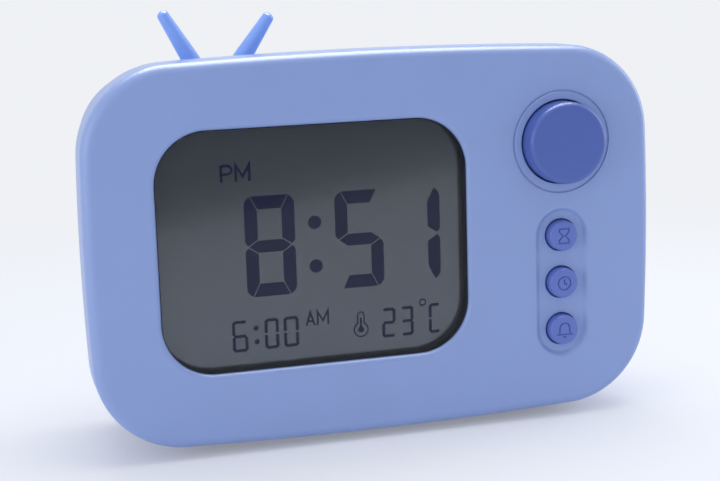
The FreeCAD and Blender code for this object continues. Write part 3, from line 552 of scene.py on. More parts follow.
def aerialRod(side, plastic):
    mesh = bmesh.new()
    (footX, footZ), (tipX, tipZ) = aerial[side]
    upright = Vector((0, 1, 0))
    along = Vector((tipX - footX, 0, tipZ - footZ))
    length = along.length
    along.normalize()
    foot = Vector((footX, frontY + aerial["depth"], footZ))
    across = along.cross(upright).normalized()
    tip, blunt, count = aerial["tip"], aerial["blunt"] * aerial["tip"], aerial["sides"]
    stations = [(t * length, aerial["foot"] + (tip - aerial["foot"]) * t) for t in (0, 0.25, 0.5, 0.75, 1)]
    stations += [(length + blunt * math.sin(a), tip * math.cos(a))
                 for a in [tau / 4 * k / 10 for k in range(1, 10)]]
    turns = [tau * k / count for k in range(count)]
    rings = [[foot + along * reach + (across * math.cos(a) + upright * math.sin(a)) * radius for a in turns]
             for reach, radius in stations]
    rings[0] = [p - along * ((p.z - roofHeight(p.x)) / along.z) for p in rings[0]]
    made = [[mesh.verts.new(p * mm) for p in points] for points in rings]
    for low, high in zip(made, made[1:]):
        bridge(mesh, low, high)
    end = mesh.verts.new((foot + along * (length + blunt)) * mm)
    for k in range(count):
        mesh.faces.new((made[-1][k], made[-1][(k + 1) % count], end))
    mesh.faces.new(made[0][::-1])
    piece = finishMesh("aerialRod" + side.capitalize(), mesh, plastic)
    standFor(piece, "clock", "aerial", "aerial_" + side)


aerialPlastic = mouldedPlastic("mouldedAbsSkyBlue", aerial)
for side in ("left", "right"):
    aerialRod(side, aerialPlastic)

# Display: glass that comes up to the lens inside its frame, so that the window looks shallow
glass = {"front": 3.7, "step": 4.8, "back": 7.4, "halfX": 39.2, "halfZ": 30.8, "corner": 1.0, "viewX": 37.3,
         "viewZ": 28.5, "viewCorner": 12.5, "silver": 0.75, "roughness": 0.16,
         "tones": ("#a4adb8", "#abb4bf")}


def displayGlass():
    # Reflective liquid crystal: brushed silver film behind a polariser, so it mirrors the room softly
    material = mottledFinish("liquidCrystalSilver", *glass["tones"], glass["roughness"], 25.0,
                             metallic=glass["silver"], detail=1.0)
    mesh = bmesh.new()
    view = roundedLoop(window["x"], window["z"], glass["viewX"], glass["viewZ"], glass["viewCorner"])
    base = roundedLoop(window["x"], window["z"], glass["halfX"], glass["halfZ"], glass["corner"])
    viewFace, viewFoot = skin(mesh, view, [(0, glass["front"]), (0, glass["step"])])
    baseTop, baseBack = skin(mesh, base, [(0, glass["step"]), (0, glass["back"])])
    bridge(mesh, viewFoot, baseTop)
    fillFlat(mesh, [viewFace])
    fillFlat(mesh, [baseBack])
    standFor(finishMesh("displayGlass", mesh, material), "clock", "display", "lcd_panel")


displayGlass()

# What the liquid crystal shows, as thin dark films on the front glass; places run from the window's middle
digits = {"depth": 3.7, "film": 0.06, "stroke": 3.05, "mitre": 1.5, "gap": 0.22, "round": 2.2, "small": 0.72,
          "smallGap": 0.14, "inks": ("#2b3364", "#30396f"), "roughness": 0.55,
          "degreeLine": 0.32, "outline": 0.3, "stem": 0.5}
segments = {"0": "abcdef", "1": "bc", "2": "abged", "3": "abgcd", "5": "afgcd", "6": "afgecd",
            "8": "abcdefg", "C": "adef"}
shown = {"big": [("8", -16.3, -11.5, 11.9, 23.6), ("5", 5.3, -11.4, 11.7, 23.2),
                 ("1", 19.4, -11.0, 11.8, 22.2)],
         "small": [("6", -20.3, -24.3, 3.7, 7.5), ("0", -12.6, -24.2, 3.4, 7.3),
                   ("0", -8.0, -24.2, 3.6, 7.3), ("2", 16.1, -24.3, 3.4, 7.2),
                   ("3", 20.8, -24.3, 3.2, 7.2), ("C", 27.9, -24.3, 3.0, 7.3)],
         "dots": [(0.37, 5.0, 1.6), (0.38, -5.4, 1.6), (-14.6, -18.9, 0.6), (-14.5, -22.2, 0.6)],
         "degree": (26.4, -16.5, 0.75),
         "thermometer": {"x": 10.85, "top": -18.25, "bulb": -21.75, "tube": 0.8, "ball": 1.7, "mouth": 62,
                         "drop": (-21.7, 0.75), "inset": 0.55},
         "letters": [("PM", -21.2, 15.8, 6.6, 3.8, 0.58), ("AM", -2.5, -19.6, 5.3, 3.3, 0.42)]}


def bigSegments(w, h):
    # Mitred segments with rounded outer corners, from the digit's lower left corner; w and h are its size
    s, t, g, r = digits["stroke"], digits["mitre"], digits["gap"] / 2, digits["round"]
    m = h / 2
    corner = [(r - r * math.cos(a), h - r + r * math.sin(a)) for a in [tau / 4 * k / 6 for k in range(5)]]
    top = [(t + g, h), (w - t - g, h), (w - s - g, h - s), (s + g, h - s)]
    side = [(0, m + 1.3), (0.25, m + 0.75), (0.75, m + g + 0.15), (s, m + s / 2 + g + 0.1),
            (s, h - s - g * 3), (t - g, h - 0.08)] + corner[::-1]
    bar = [(0.95, m), (s, m + s / 2 - g), (w - s, m + s / 2 - g), (w - 0.95, m), (w - s, m - s / 2 + g),
           (s, m - s / 2 + g)]
    farSide = [(w - x, z) for x, z in side]
    shapes = {"a": top, "f": side, "g": bar, "b": farSide}
    for name, points in (("d", top), ("e", side), ("c", farSide)):
        shapes[name] = [(x, h - z) for x, z in points]
    return shapes


def smallSegments(w, h):
    # Thin bars that stop short of each other
    s, g, m = digits["small"], digits["smallGap"], h / 2
    levels = {"a": h - s / 2, "g": m, "d": s / 2}
    bars = {name: (s * 0.6, z - s / 2, w - s * 0.6, z + s / 2) for name, z in levels.items()}
    for name, x, low, high in (("f", 0, m + 0.1, h - s * 0.4), ("b", w - s, m + 0.1, h - s * 0.4),
                               ("e", 0, s * 0.4, m - 0.1), ("c", w - s, s * 0.4, m - 0.1)):
        bars[name] = (x, low + g, x + s, high - g)
    return {name: [(x, z), (farX, z), (farX, farZ), (x, farZ)] for name, (x, z, farX, farZ) in bars.items()}


def letterRoutes(letters, x, z, w, h):
    # Centre lines of PM or AM in a box w wide and h high
    if letters == "PM":
        bowl = arcRoute(x + w * 0.22, z + h * 0.74, h * 0.26, 90, -90, 12)
        first = [[(x, z), (x, z + h)], [(x, z + h)] + bowl + [(x, z + h * 0.48)]]
    else:
        first = [[(x, z), (x + w * 0.19, z + h), (x + w * 0.38, z)],
                 [(x + w * 0.07, z + h * 0.33), (x + w * 0.31, z + h * 0.33)]]
    m = x + w * 0.52
    return first + [[(m, z), (m, z + h), (m + w * 0.24, z + h * 0.3), (x + w, z + h), (x + w, z)]]


def displaySymbols():
    mesh = bmesh.new()
    back = digits["depth"]
    front = back - digits["film"]
    ox, oz = window["x"], window["z"]
    for size, shape in (("big", bigSegments), ("small", smallSegments)):
        for sign, x, z, w, h in shown[size]:
            shapes = shape(w, h)
            for segment in segments[sign]:
                plate(mesh, [(ox + x + px, oz + z + pz) for px, pz in shapes[segment]], front, back)
    gauge = shown["thermometer"]
    stemX, top, bulb, inset = (gauge[key] for key in ("x", "top", "bulb", "inset"))
    for x, z, radius in shown["dots"] + [(stemX, *gauge["drop"])]:
        plate(mesh, dotOutline(ox + x, oz + z, radius), front, back)
    mouth = gauge["mouth"]
    outline = arcRoute(stemX, top, gauge["tube"], 180, 0, 12)
    outline += arcRoute(stemX, bulb, gauge["ball"], mouth, -180 - mouth, 24)
    routes = [(dotOutline(*shown["degree"]), digits["degreeLine"], True), (outline, digits["outline"], True),
              ([(stemX, top - inset), (stemX, bulb + inset)], digits["stem"], False)]
    for letters, x, z, w, h, line in shown["letters"]:
        routes += [(route, line, False) for route in letterRoutes(letters, x, z, w, h)]
    for route, width, closed in routes:
        ribbon(mesh, [(ox + px, oz + pz) for px, pz in route], width, front, back, closed)
    material = mottledFinish("liquidCrystalDark", *digits["inks"], digits["roughness"], 3.0, detail=2.0)
    standFor(finishMesh("displaySymbols", mesh, material), "clock", "display")


displaySymbols()
print("display done")

# Geometry Nodes: what repeats is grown from a few points, one for each copy
def newTree(name, sockets):
    tree = bpy.data.node_groups.new(name, "GeometryNodeTree")
    tree.interface.new_socket("Geometry", in_out="INPUT", socket_type="NodeSocketGeometry")
    tree.interface.new_socket("Geometry", in_out="OUTPUT", socket_type="NodeSocketGeometry")
    for label, kind in sockets.items():
        tree.interface.new_socket(label, in_out="INPUT", socket_type="NodeSocket" + kind)
    return tree, addNode(tree, "NodeGroupInput").outputs, addNode(tree, "NodeGroupOutput")


def growMesh(name, tree, points, values, reaches=None):
    # The tree's result on these points, given in mm, as an object with a plain mesh
    start = bpy.data.meshes.new(name)
    start.from_pydata([Vector(point) * mm for point in points], [], [])
    if reaches:
        stored = start.attributes.new("reach", "FLOAT", "POINT")
        stored.data.foreach_set("value", [reach * mm for reach in reaches])
    host = addObject(name, start)
    grower = host.modifiers.new("grow", "NODES")
    grower.node_group = tree
    for item in tree.interface.items_tree:
        if item.in_out == "INPUT" and item.name in values:
            grower[item.identifier] = values[item.name]
    graph = bpy.context.evaluated_depsgraph_get()
    grown = bpy.data.meshes.new_from_object(host.evaluated_get(graph))
    host.modifiers.remove(grower)
    host.data = grown
    return host


def closeTree(tree, geometry, given, result):
    # Every tree ends in real geometry with its material
    real = addNode(tree, "GeometryNodeRealizeInstances", None, {"Geometry": geometry})
    paint = addNode(tree, "GeometryNodeSetMaterial", None,
                    {"Geometry": real.outputs["Geometry"], "Material": given["Material"]})
    tree.links.new(paint.outputs["Geometry"], result.inputs["Geometry"])
    return tree


def slotTree():
    # Level slots with round ends: a disc at each point, whose two halves move apart by the point's reach
    tree, given, result = newTree("roundedSlots",
                                  {"Width": "Float", "Depth": "Float", "Material": "Material"})
    disc = addNode(tree, "GeometryNodeMeshCylinder", {"Vertices": 26, "Radius": 0.5, "Depth": 1.0})
    where = addNode(tree, "ShaderNodeSeparateXYZ", None,
                    {"Vector": addNode(tree, "GeometryNodeInputPosition").outputs["Position"]})
    half = addNode(tree, "ShaderNodeMath", {"operation": "SIGN"}, {0: where.outputs["X"]})
    marked = addNode(tree, "GeometryNodeStoreNamedAttribute", {"data_type": "FLOAT", "Name": "side"},
                     {"Geometry": disc.outputs["Mesh"], "Value": half.outputs[0]})
    girth = addNode(tree, "ShaderNodeCombineXYZ", None,
                    {"X": given["Width"], "Y": given["Width"], "Z": given["Depth"]})
    discs = addNode(tree, "GeometryNodeInstanceOnPoints", {"Rotation": (tau / 4, 0, 0)},
                    {"Points": given["Geometry"], "Instance": marked.outputs["Geometry"],
                     "Scale": girth.outputs[0]})
    real = addNode(tree, "GeometryNodeRealizeInstances", None, {"Geometry": discs.outputs["Instances"]})
    side, reach = [addNode(tree, "GeometryNodeInputNamedAttribute", {"data_type": "FLOAT", "Name": name})
                   for name in ("side", "reach")]
    far = addNode(tree, "ShaderNodeMath", {"operation": "MULTIPLY"},
                  {0: side.outputs[0], 1: reach.outputs[0]})
    apart = addNode(tree, "ShaderNodeCombineXYZ", None, {"X": far.outputs[0]})
    spread = addNode(tree, "GeometryNodeSetPosition", None,
                     {"Geometry": real.outputs["Geometry"], "Offset": apart.outputs[0]})
    return closeTree(tree, spread.outputs["Geometry"], given, result)


def scatterTree():
    # A copy of one piece at every point, turned about its own axis by chance
    tree, given, result = newTree("drivenScrews", {"Piece": "Object", "Seed": "Int", "Material": "Material"})
    piece = addNode(tree, "GeometryNodeObjectInfo", None, {"Object": given["Piece"]})
    turn = addNode(tree, "FunctionNodeRandomValue", {"data_type": "FLOAT", 3: tau}, {"Seed": given["Seed"]})
    spin = addNode(tree, "ShaderNodeCombineXYZ", None, {"Y": turn.outputs[1]})
    copies = addNode(tree, "GeometryNodeInstanceOnPoints", None,
                     {"Points": given["Geometry"], "Instance": piece.outputs["Geometry"],
                      "Rotation": spin.outputs[0]})
    return closeTree(tree, copies.outputs["Instances"], given, result)


slots = slotTree()
scatter = scatterTree()

# Back housing: the bezel's plastic, stepped in behind it, with a rounded back edge
backShell = {"step": 3.2, "rim": 1.2, "rimEnd": 13.2, "rimSoft": 0.25, "root": 0.5, "end": 40.0, "wall": 2.2,
             "round": 3.0}
wells = {"x": 51.0, "z": 35.6, "radius": 3.3, "floor": 22.4, "seat": 20.2, "tube": 4.8, "hole": 1.4,
         "flare": 0.3}
bay = {"x": 22.0, "z": 42.0, "halfWidth": 24.8, "halfHeight": 18.2, "floor": 26.6, "wall": 1.5,
       "corner": 0.8, "seat": 38.2, "mouthX": 28.2, "mouthZ": 20.2, "mouthCorner": 3.2, "flare": 0.25,
       "ledge": 2.0, "ledgeDepth": 2.3, "ledgeCorner": 3.0, "ribHalf": 0.3, "ribRoot": 0.3,
       "ribCorner": 0.25, "ribReach": 18.0, "ribHeight": 2.0, "cellPitch": 11.9}
hooks = {"x": 16.0, "half": 3.0, "gap": 0.3, "slot": 2.8, "below": 4.4, "above": 3.0, "reach": 2.6,
         "front": 36.85, "back": 38.05}
latch = {"half": 5.0, "socket": 6.0, "socketDepth": 2.6, "front": 36.65, "low": 2.6, "high": 0.8}
grille = {"x": -33.0, "z": 50.0, "rows": 3, "pitch": 3.4, "width": 1.6, "field": 12.0, "cut": 8.0}
past = 1.0           # how far a cut runs past the face that it opens
lap = 0.1            # how far joined forms run into each other


def wellPlaces():
    return [(sx * wells["x"], bezel["middleZ"] + sz * wells["z"]) for sx in (-1, 1) for sz in (-1, 1)]


def closedForms(name, forms, plastic):
    # Closed solids in one mesh, each a loop carried through a profile
    mesh = bmesh.new()
    for loop, profile in forms:
        first, last = skin(mesh, loop, profile)
        fillFlat(mesh, [first])
        fillFlat(mesh, [last])
    return finishMesh(name, mesh, plastic)


def carveForms(piece, forms, plastic, operation="DIFFERENCE"):
    # One form after another, because they run into each other
    for form in forms:
        carve(piece, closedForms("form", [form], plastic), operation)


def slabAt(x, z, halfX, halfZ, front, back, corner=0.3):
    # A block of round-cornered outline for closedForms
    return roundedLoop(x, z, halfX, halfZ, corner, 4), [(0, front), (0, back)]


def backHousing(plastic):
    outline = bowedLoop(bezel)
    step, rim, soft, root = (backShell[key] for key in ("step", "rim", "rimSoft", "root"))
    front, end, bend = bezel["depth"], backShell["end"], backShell["round"]
    profile = [(rim + soft, front)] + fillet(rim + soft, front + soft, soft, 3, 2, 3)[1:]
    profile += fillet(rim + soft, backShell["rimEnd"] - soft, soft, 2, 1, 3)
    profile += fillet(step - root, backShell["rimEnd"] + root, root, 3, 4, 4)
    profile += fillet(step + bend, end - bend, bend, 2, 1, 14) + [(step + bend + support, end)]
    body = closedForms("backHousing", [(outline, profile)], plastic)

    # Inside: the cavity, less the screw posts and the battery tub
    inner = step + backShell["wall"]
    panel = end - backShell["wall"]
    hollow = closedForms("hollow", [(outline, [(inner, front - past), (inner, panel)])], plastic)
    posts = [(circleLoop(x, z, wells["tube"], 32), [(0, wells["seat"]), (0, end)]) for x, z in wellPlaces()]
    tub = slabAt(bay["x"], bay["z"], bay["halfWidth"] + bay["wall"], bay["halfHeight"] + bay["wall"],
                 bay["floor"] - bay["wall"], end, bay["wall"])
    ledge = slabAt(bay["x"], bay["z"], bay["mouthX"] + bay["ledge"], bay["mouthZ"] + bay["ledge"],
                   panel - bay["ledgeDepth"], end, bay["ledgeCorner"])
    carveForms(hollow, posts + [tub, ledge], plastic)
    carve(body, hollow)

    # Openings: screw wells, the battery bay with its door's seat, the sockets of the hooks and of the catch
    flare, mouthFlare = wells["flare"], bay["flare"]
    cuts = []
    for x, z in wellPlaces():
        cuts.append((circleLoop(x, z, wells["radius"], 48),
                     [(0, wells["floor"]), (0, end - flare), (-flare, end), (-flare, end + past)]))
        cuts.append((circleLoop(x, z, wells["hole"], 24), [(0, wells["seat"] - past), (0, end - past)]))
    cuts.append((roundedLoop(bay["x"], bay["z"], bay["mouthX"], bay["mouthZ"], bay["mouthCorner"]),
                 [(0, bay["seat"]), (0, end - mouthFlare), (-mouthFlare, end), (-mouthFlare, end + past)]))
    cuts.append(slabAt(bay["x"], bay["z"], bay["halfWidth"], bay["halfHeight"], bay["floor"], end - past,
                       bay["corner"]))
    sill, head = bay["z"] - bay["mouthZ"], bay["z"] + bay["mouthZ"]
    for side in (-1, 1):
        low, high = sill - hooks["below"], sill + hooks["above"]
        cuts.append(slabAt(bay["x"] + side * hooks["x"], (low + high) / 2, hooks["half"] + hooks["gap"],
                           (high - low) / 2, bay["seat"] - hooks["slot"], bay["seat"] + lap))
    low, high = bay["z"] + bay["halfHeight"] - past, head + latch["high"]
    cuts.append(slabAt(bay["x"], (low + high) / 2, latch["socket"], (high - low) / 2,
                       bay["seat"] - latch["socketDepth"], bay["seat"] + lap))
    carveForms(body, cuts, plastic)

    # Speaker grille: slots whose ends follow a circle
    rows = range(-grille["rows"], grille["rows"] + 1)
    points = [(grille["x"], frontY + end, grille["z"] + row * grille["pitch"]) for row in rows]
    reaches = [math.sqrt(grille["field"] ** 2 - (row * grille["pitch"]) ** 2) for row in rows]
    sizes = {"Width": grille["width"] * mm, "Depth": grille["cut"] * mm, "Material": plastic}
    carve(body, growMesh("grilleSlots", slots, points, sizes, reaches))

    # Ribs on the bay's floor between the cells
    ribs = [slabAt(bay["x"], bay["z"] + side * bay["cellPitch"] / 2, bay["ribReach"], bay["ribHalf"],
                   bay["floor"] - bay["ribRoot"], bay["floor"] + bay["ribHeight"], bay["ribCorner"])
            for side in (-1, 1)]
    carveForms(body, ribs, plastic, "UNION")
    smoothed(body)
    standFor(body, "clock", "housing", "rear_housing")


backHousing(housingPlastic)
print("back housing done")

# Battery door: flush, held by two hooks below and a catch above, with grip lines for a thumb
hatch = {"halfX": 28.0, "halfZ": 20.0, "corner": 3.0, "inner": 38.25, "edge": 0.3, "ribZ": 11.5,
         "ribX": 20.0, "ribHalf": 0.5, "ribHeight": 0.6, "gripTop": 4.0, "gripPitch": 1.8,
         "gripRows": 4, "gripReach": 7.0, "gripWidth": 0.8, "gripDepth": 0.5}


def batteryHatch(plastic):
    end, edge, inner = backShell["end"], hatch["edge"], hatch["inner"]
    loop = roundedLoop(bay["x"], bay["z"], hatch["halfX"], hatch["halfZ"], hatch["corner"])
    profile = [(lap, inner), (0, inner + lap)] + fillet(edge, end - edge, edge, 2, 1, 4)
    panel = closedForms("batteryHatch", [(loop, profile + [(edge + support, end)])], plastic)
    low, high = bay["z"] - hatch["halfZ"], bay["z"] + hatch["halfZ"]
    fittings = []
    for side in (-1, 1):
        x = bay["x"] + side * hooks["x"]
        fittings.append(slabAt(x, low + (hooks["above"] - hooks["reach"]) / 2, hooks["half"],
                               (hooks["above"] + hooks["reach"]) / 2, hooks["front"], hooks["back"]))
        fittings.append(slabAt(x, low + (hooks["gap"] + hooks["above"]) / 2, hooks["half"] - lap / 2,
                               (hooks["above"] - hooks["gap"]) / 2, hooks["back"] - lap, inner + lap))
    fittings.append(slabAt(bay["x"], high - (latch["low"] + latch["high"]) / 2, latch["half"],
                           (latch["low"] - latch["high"]) / 2, latch["front"], inner + lap))
    for row in (-1, 0, 1):
        fittings.append(slabAt(bay["x"], bay["z"] + row * hatch["ribZ"], hatch["ribX"], hatch["ribHalf"],
                               inner - hatch["ribHeight"], inner + lap))
    carveForms(panel, fittings, plastic, "UNION")
    rows = range(hatch["gripRows"])
    gripTop = high - hatch["gripTop"]
    points = [(bay["x"], frontY + end, gripTop - row * hatch["gripPitch"]) for row in rows]
    reaches = [hatch["gripReach"] - row for row in rows]
    sizes = {"Width": hatch["gripWidth"] * mm, "Depth": 2 * hatch["gripDepth"] * mm, "Material": plastic}
    carve(panel, growMesh("gripLines", slots, points, sizes, reaches))
    smoothed(panel)
    standFor(panel, "door", "housing", "battery_door")


batteryHatch(housingPlastic)

# Screws: pan heads with a cross recess, each left where its driver stopped
screws = {"housing": {"shank": 1.1, "head": 2.6, "length": 11.0, "seat": wells["floor"]},
          "frame": {"shank": 0.9, "head": 1.9, "length": 8.0, "seat": 13.2, "aside": 44.2, "above": 18.0},
          "keys": {"shank": 0.9, "head": 1.9, "length": 7.0, "seat": 16.4, "aside": 9.0,
                   "rows": (54.0, 19.5)},
          "rise": 0.7, "rim": 0.2, "armReach": 0.56, "armWidth": 0.2, "armDepth": 0.4, "point": 1.2,
          "tip": 0.2, "armCorner": 0.04}


def screwBlank(sizes, steel):
    # Head at depth 0 and up, facing back, and the shank below it
    head, shank, length = sizes["head"], sizes["shank"], sizes["length"]
    top, rim = head * screws["rise"], head * screws["rim"]
    dome = top - rim
    profile = [(head - screws["tip"], -length), (head - shank, screws["point"] - length), (head - shank, 0),
               (0, 0)]
    profile += fillet(dome, rim, dome, 2, 1, 8)
    blank = closedForms("screw", [(circleLoop(0, 0, head, 40), profile)], steel)
    arm, half = head * screws["armReach"], head * screws["armWidth"] / 2
    recess = [slabAt(0, 0, reach, width, top - head * screws["armDepth"], top + past,
                     screws["armCorner"])
              for reach, width in ((arm, half), (half, arm))]
    carveForms(blank, recess, steel)
    return blank


def drivenScrews(name, node, groups, steel):
    # groups: a screw's sizes with the places of its copies
    whole = bmesh.new()
    for seed, (sizes, spots) in enumerate(groups):
        blank = screwBlank(sizes, steel)
        row = growMesh(name + "Row", scatter, [(x, sizes["seat"], z) for x, z in spots],
                       {"Piece": blank, "Seed": seed, "Material": steel})
        whole.from_mesh(row.data)
        bpy.data.objects.remove(row)
        bpy.data.objects.remove(blank)
    standFor(finishMesh(name, whole, steel), "clock", "screws", node)


def boardPlaces():
    # Four screws hold the display's frame and two hold the key board
    frameScrews, keyScrews = screws["frame"], screws["keys"]
    around = [(window["x"] + sx * frameScrews["aside"], window["z"] + sz * frameScrews["above"])
              for sx in (-1, 1) for sz in (-1, 1)]
    beside = [(dish["x"] + sx * keyScrews["aside"], z) for sx, z in zip((-1, 1), keyScrews["rows"])]
    return [(frameScrews, around), (keyScrews, beside)]


# Zinc plate on turned steel glints cold and grey; tin plate on pressed strip is whiter and softer
zincPlate = mottledFinish("zincPlatedSteel", "#b6b9bd", "#cbced1", 0.24, 0.8, metallic=1.0, uneven=0.12)
tinPlate = mottledFinish("tinPlatedSteel", "#c5c6c2", "#d8d9d6", 0.26, 1.5, metallic=1.0, uneven=0.12)
drivenScrews("housingScrews", "housing_screws", [(screws["housing"], wellPlaces())], zincPlate)
drivenScrews("boardScrews", "board_screws", boardPlaces(), zincPlate)

# Feet: soft blocks whose tops follow the curve of the shell
feet = {"x": 43.0, "front": 13.2, "back": 33.0, "halfWidth": 5.5, "corner": 1.5, "edge": 0.5, "bite": 0.02,
        "colour": "#35373c", "roughness": 0.75, "grain": 0.25, "relief": 0.02}


def rubberFeet():
    mesh = bmesh.new()
    front, back = feet["front"], feet["back"]
    profile = roundedRim(feet["edge"], 0, 4)
    for side in (-1, 1):
        loop = roundedLoop(side * feet["x"], (front + back) / 2, feet["halfWidth"], (back - front) / 2,
                           feet["corner"], 6)
        rings = [[mesh.verts.new(place(x - nx * inset, y - ny * inset, z)) for x, y, nx, ny in loop]
                 for inset, z in profile]
        rings.append([mesh.verts.new(place(x, y, 2 * bezel["middleZ"] - roofHeight(x) + feet["bite"]))
                      for x, y, nx, ny in loop])
        for low, high in zip(rings, rings[1:]):
            bridge(mesh, low, high)
        fillFlat(mesh, [rings[0]])
        fillFlat(mesh, [rings[-1]])
    # Moulded silicone rubber is dull and grips: hardly any shine, over a fine sanded grain
    rubber = mouldedPlastic("mouldedRubberGrey", feet)
    standFor(finishMesh("rubberPads", mesh, rubber), "clock", "feet", "rubber_feet")


rubberFeet()
print("door, screws and feet done")

# Cells: steel cans in a shrunk sleeve, with a copper band at the cap's end
cell = {"depth": 32.2, "length": 43.3, "gap": 0.5, "seat": 1.0, "band": 11.0, "sides": 48,
        "sleeve": ("#26282c", "#2e3035"), "copper": "#b8733c", "roughness": 0.28,
        "sleeveEnds": (0.14, 43.2), "sleeveLeast": 4.4,
        "turned": [(0.0, 3.9), (0.12, 4.3), (0.12, 4.75), (0.5, 5.2), (42.8, 5.2), (43.3, 4.75), (43.3, 4.2),
                   (43.1, 4.0), (43.1, 2.2), (43.2, 1.9), (44.1, 1.9), (44.3, 1.6)]}


def shrunkSleeve(way, border):
    # Printed vinyl shrunk on the can: dark for most of its length, copper towards the cap, and glossy
    material, tree, shader, where = newMaterial("shrunkVinylSleeve", Roughness=cell["roughness"])
    along = addNode(tree, "ShaderNodeSeparateXYZ", None, {"Vector": where}).outputs["X"]
    banded = addNode(tree, "ShaderNodeMath", {"operation": "GREATER_THAN" if way > 0 else "LESS_THAN",
                                              1: border * mm}, {0: along})
    cloud = addNode(tree, "ShaderNodeTexNoise", {"Scale": 1 / (4 * mm)}, {"Vector": where})
    first, second = [toLinear(tone) for tone in cell["sleeve"]]
    dark = addNode(tree, "ShaderNodeMix", {"data_type": "RGBA", 6: first, 7: second},
                   {"Factor": cloud.outputs["Fac"]})
    printed = addNode(tree, "ShaderNodeMix", {"data_type": "RGBA", 7: toLinear(cell["copper"])},
                      {"Factor": banded.outputs[0], 6: dark.outputs[2]})
    tree.links.new(printed.outputs[2], shader.inputs["Base Color"])
    return material


def dryCell(name, z, way):
    mesh = bmesh.new()
    tip = bay["x"] + way * (bay["halfWidth"] - cell["gap"])
    flat = tip - way * (cell["length"] + cell["seat"])
    turns = [tau * k / cell["sides"] for k in range(cell["sides"])]
    rings = [[mesh.verts.new(place(flat + way * run, cell["depth"] + radius * math.cos(a),
                                   z + radius * math.sin(a))) for a in turns]
             for run, radius in cell["turned"]]
    for low, high in zip(rings, rings[1:]):
        bridge(mesh, low, high)
    mesh.faces.new(rings[0])
    mesh.faces.new(rings[-1])
    piece = finishMesh(name, mesh, shrunkSleeve(way, tip - way * cell["band"]))
    piece.data.materials.append(tinPlate)
    start, end = cell["sleeveEnds"]
    for face in piece.data.polygons:
        x, y, height = face.center / mm
        sleeved = (start < abs(x - flat) < end
                   and math.hypot(y - frontY - cell["depth"], height - z) > cell["sleeveLeast"])
        face.material_index = int(not sleeved)
    standFor(piece, "clock", "cell", name.replace("cell", "battery_").lower())


for name, row, way in (("cellUpper", 1, 1), ("cellMiddle", 0, -1), ("cellLower", -1, 1)):
    dryCell(name, bay["z"] + row * bay["cellPitch"], way)
print("cells done")

# Finishes for the nodes that stay as they were packed: name, two tones, roughness and patch size
finishes = {
    "lcd_frame": ("mouldedPolystyreneDark", "#151c34", "#1b2340", 0.45, 6.0),         # dim, keeps light in
    "light_guide": ("polishedAcrylicClear", "#dfe7ee", "#eef3f7", 0.15, 12.0),        # bright, looks wet
    "reflector_sheet": ("calenderedPolyesterWhite", "#f0f0ec", "#f7f7f3", 0.6, 8.0),  # flat paper white
    "zebra_strip": ("extrudedSiliconeGrey", "#9a9ea3", "#878b91", 0.7, 0.6),          # dull, finely striped
    "crystal": ("drawnNickelSilver", "#c6c4bd", "#d4d2cc", 0.28, 2.0),                # warm soft mirror
    "temperature_sensor": ("dippedEpoxyBrown", "#3a2417", "#4a2f1f", 0.35, 0.8),      # a glossy bead
    "night_light_leds": ("castSiliconeWhite", "#f1ead2", "#f8f3e2", 0.3, 1.5),        # milky lenses
    "key_ribbon": ("extrudedVinylGrey", "#d8dcdf", "#e4e7ea", 0.45, 2.0),             # pale and pliant
    "tact_switches": ("mouldedNylonBlack", "#1c1d20", "#26272b", 0.5, 1.2),           # satin black
    "encoder_body": ("mouldedNylonGraphite", "#232529", "#2d2f34", 0.5, 2.0),         # satin dark grey
    "encoder_shaft": ("turnedAluminium", "#c9cbcd", "#d7d9db", 0.3, 0.4),             # fine bright turning
    "encoder_plunger": ("mouldedAcetalWhite", "#e9e9e4", "#f2f2ee", 0.4, 2.0),        # waxy white
    "speaker_wires": ("vinylInsulationBlack", "#1b1b1d", "#26262a", 0.45, 1.5),       # soft shine
    "battery_wires": ("vinylInsulationRed", "#a3221f", "#b52c28", 0.45, 1.5),         # soft shine
    "main_board": ("solderMaskGreen", "#17593a", "#1f6b47", 0.35, 1.6),               # tracks show under it
    "control_chip": ("mouldedEpoxyBlack", "#141517", "#1b1c1f", 0.5, 0.8),            # finely pitted
    "speaker": ("pressedPaperCone", "#1e1f22", "#2a2b2f", 0.7, 0.9),                  # fibrous and dull
}
bare = ("crystal", "encoder_shaft")
reliefs = {"main_board": 0.02, "control_chip": 0.01, "speaker": 0.05}


def nodeFinishes():
    paint = {name: mottledFinish(*row, metallic=float(name in bare), relief=reliefs.get(name, 0.0))
             for name, row in finishes.items()}
    paint["key_board"] = paint["main_board"]
    paint["battery_contacts"] = paint["battery_springs"] = tinPlate
    for name in ("timer", "clock", "alarm"):
        paint[name + "_plunger"] = paint["encoder_plunger"]
    for name, material in paint.items():
        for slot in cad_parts[name].material_slots:
            slot.material = material


nodeFinishes()
print("carried nodes finished")

# Table, backdrop and light: a pale seamless sheet, soft boxes, and one that only the sheens mirror
studio = {"paper": "#ebedf1", "backdrop": "#eff1f5", "skylight": "#e9edf7", "sky": 0.82, "tableReach": 20000,
          "fadeStart": 60, "fadeEnd": 380, "fadeLeast": 0.25,
          "topPower": 1.4, "topSize": (620, 420), "topPlace": (60, 40, 620),
          "fillPower": 1.3, "fillSize": (500, 400), "fillPlace": (-620, -260, 110),
          "rimPower": 0.7, "rimSize": (200, 400), "rimPlace": (520, 60, 200),
          "glossPower": 8.8, "glossSize": (620, 420), "glossPlace": (60, 90, 620)}


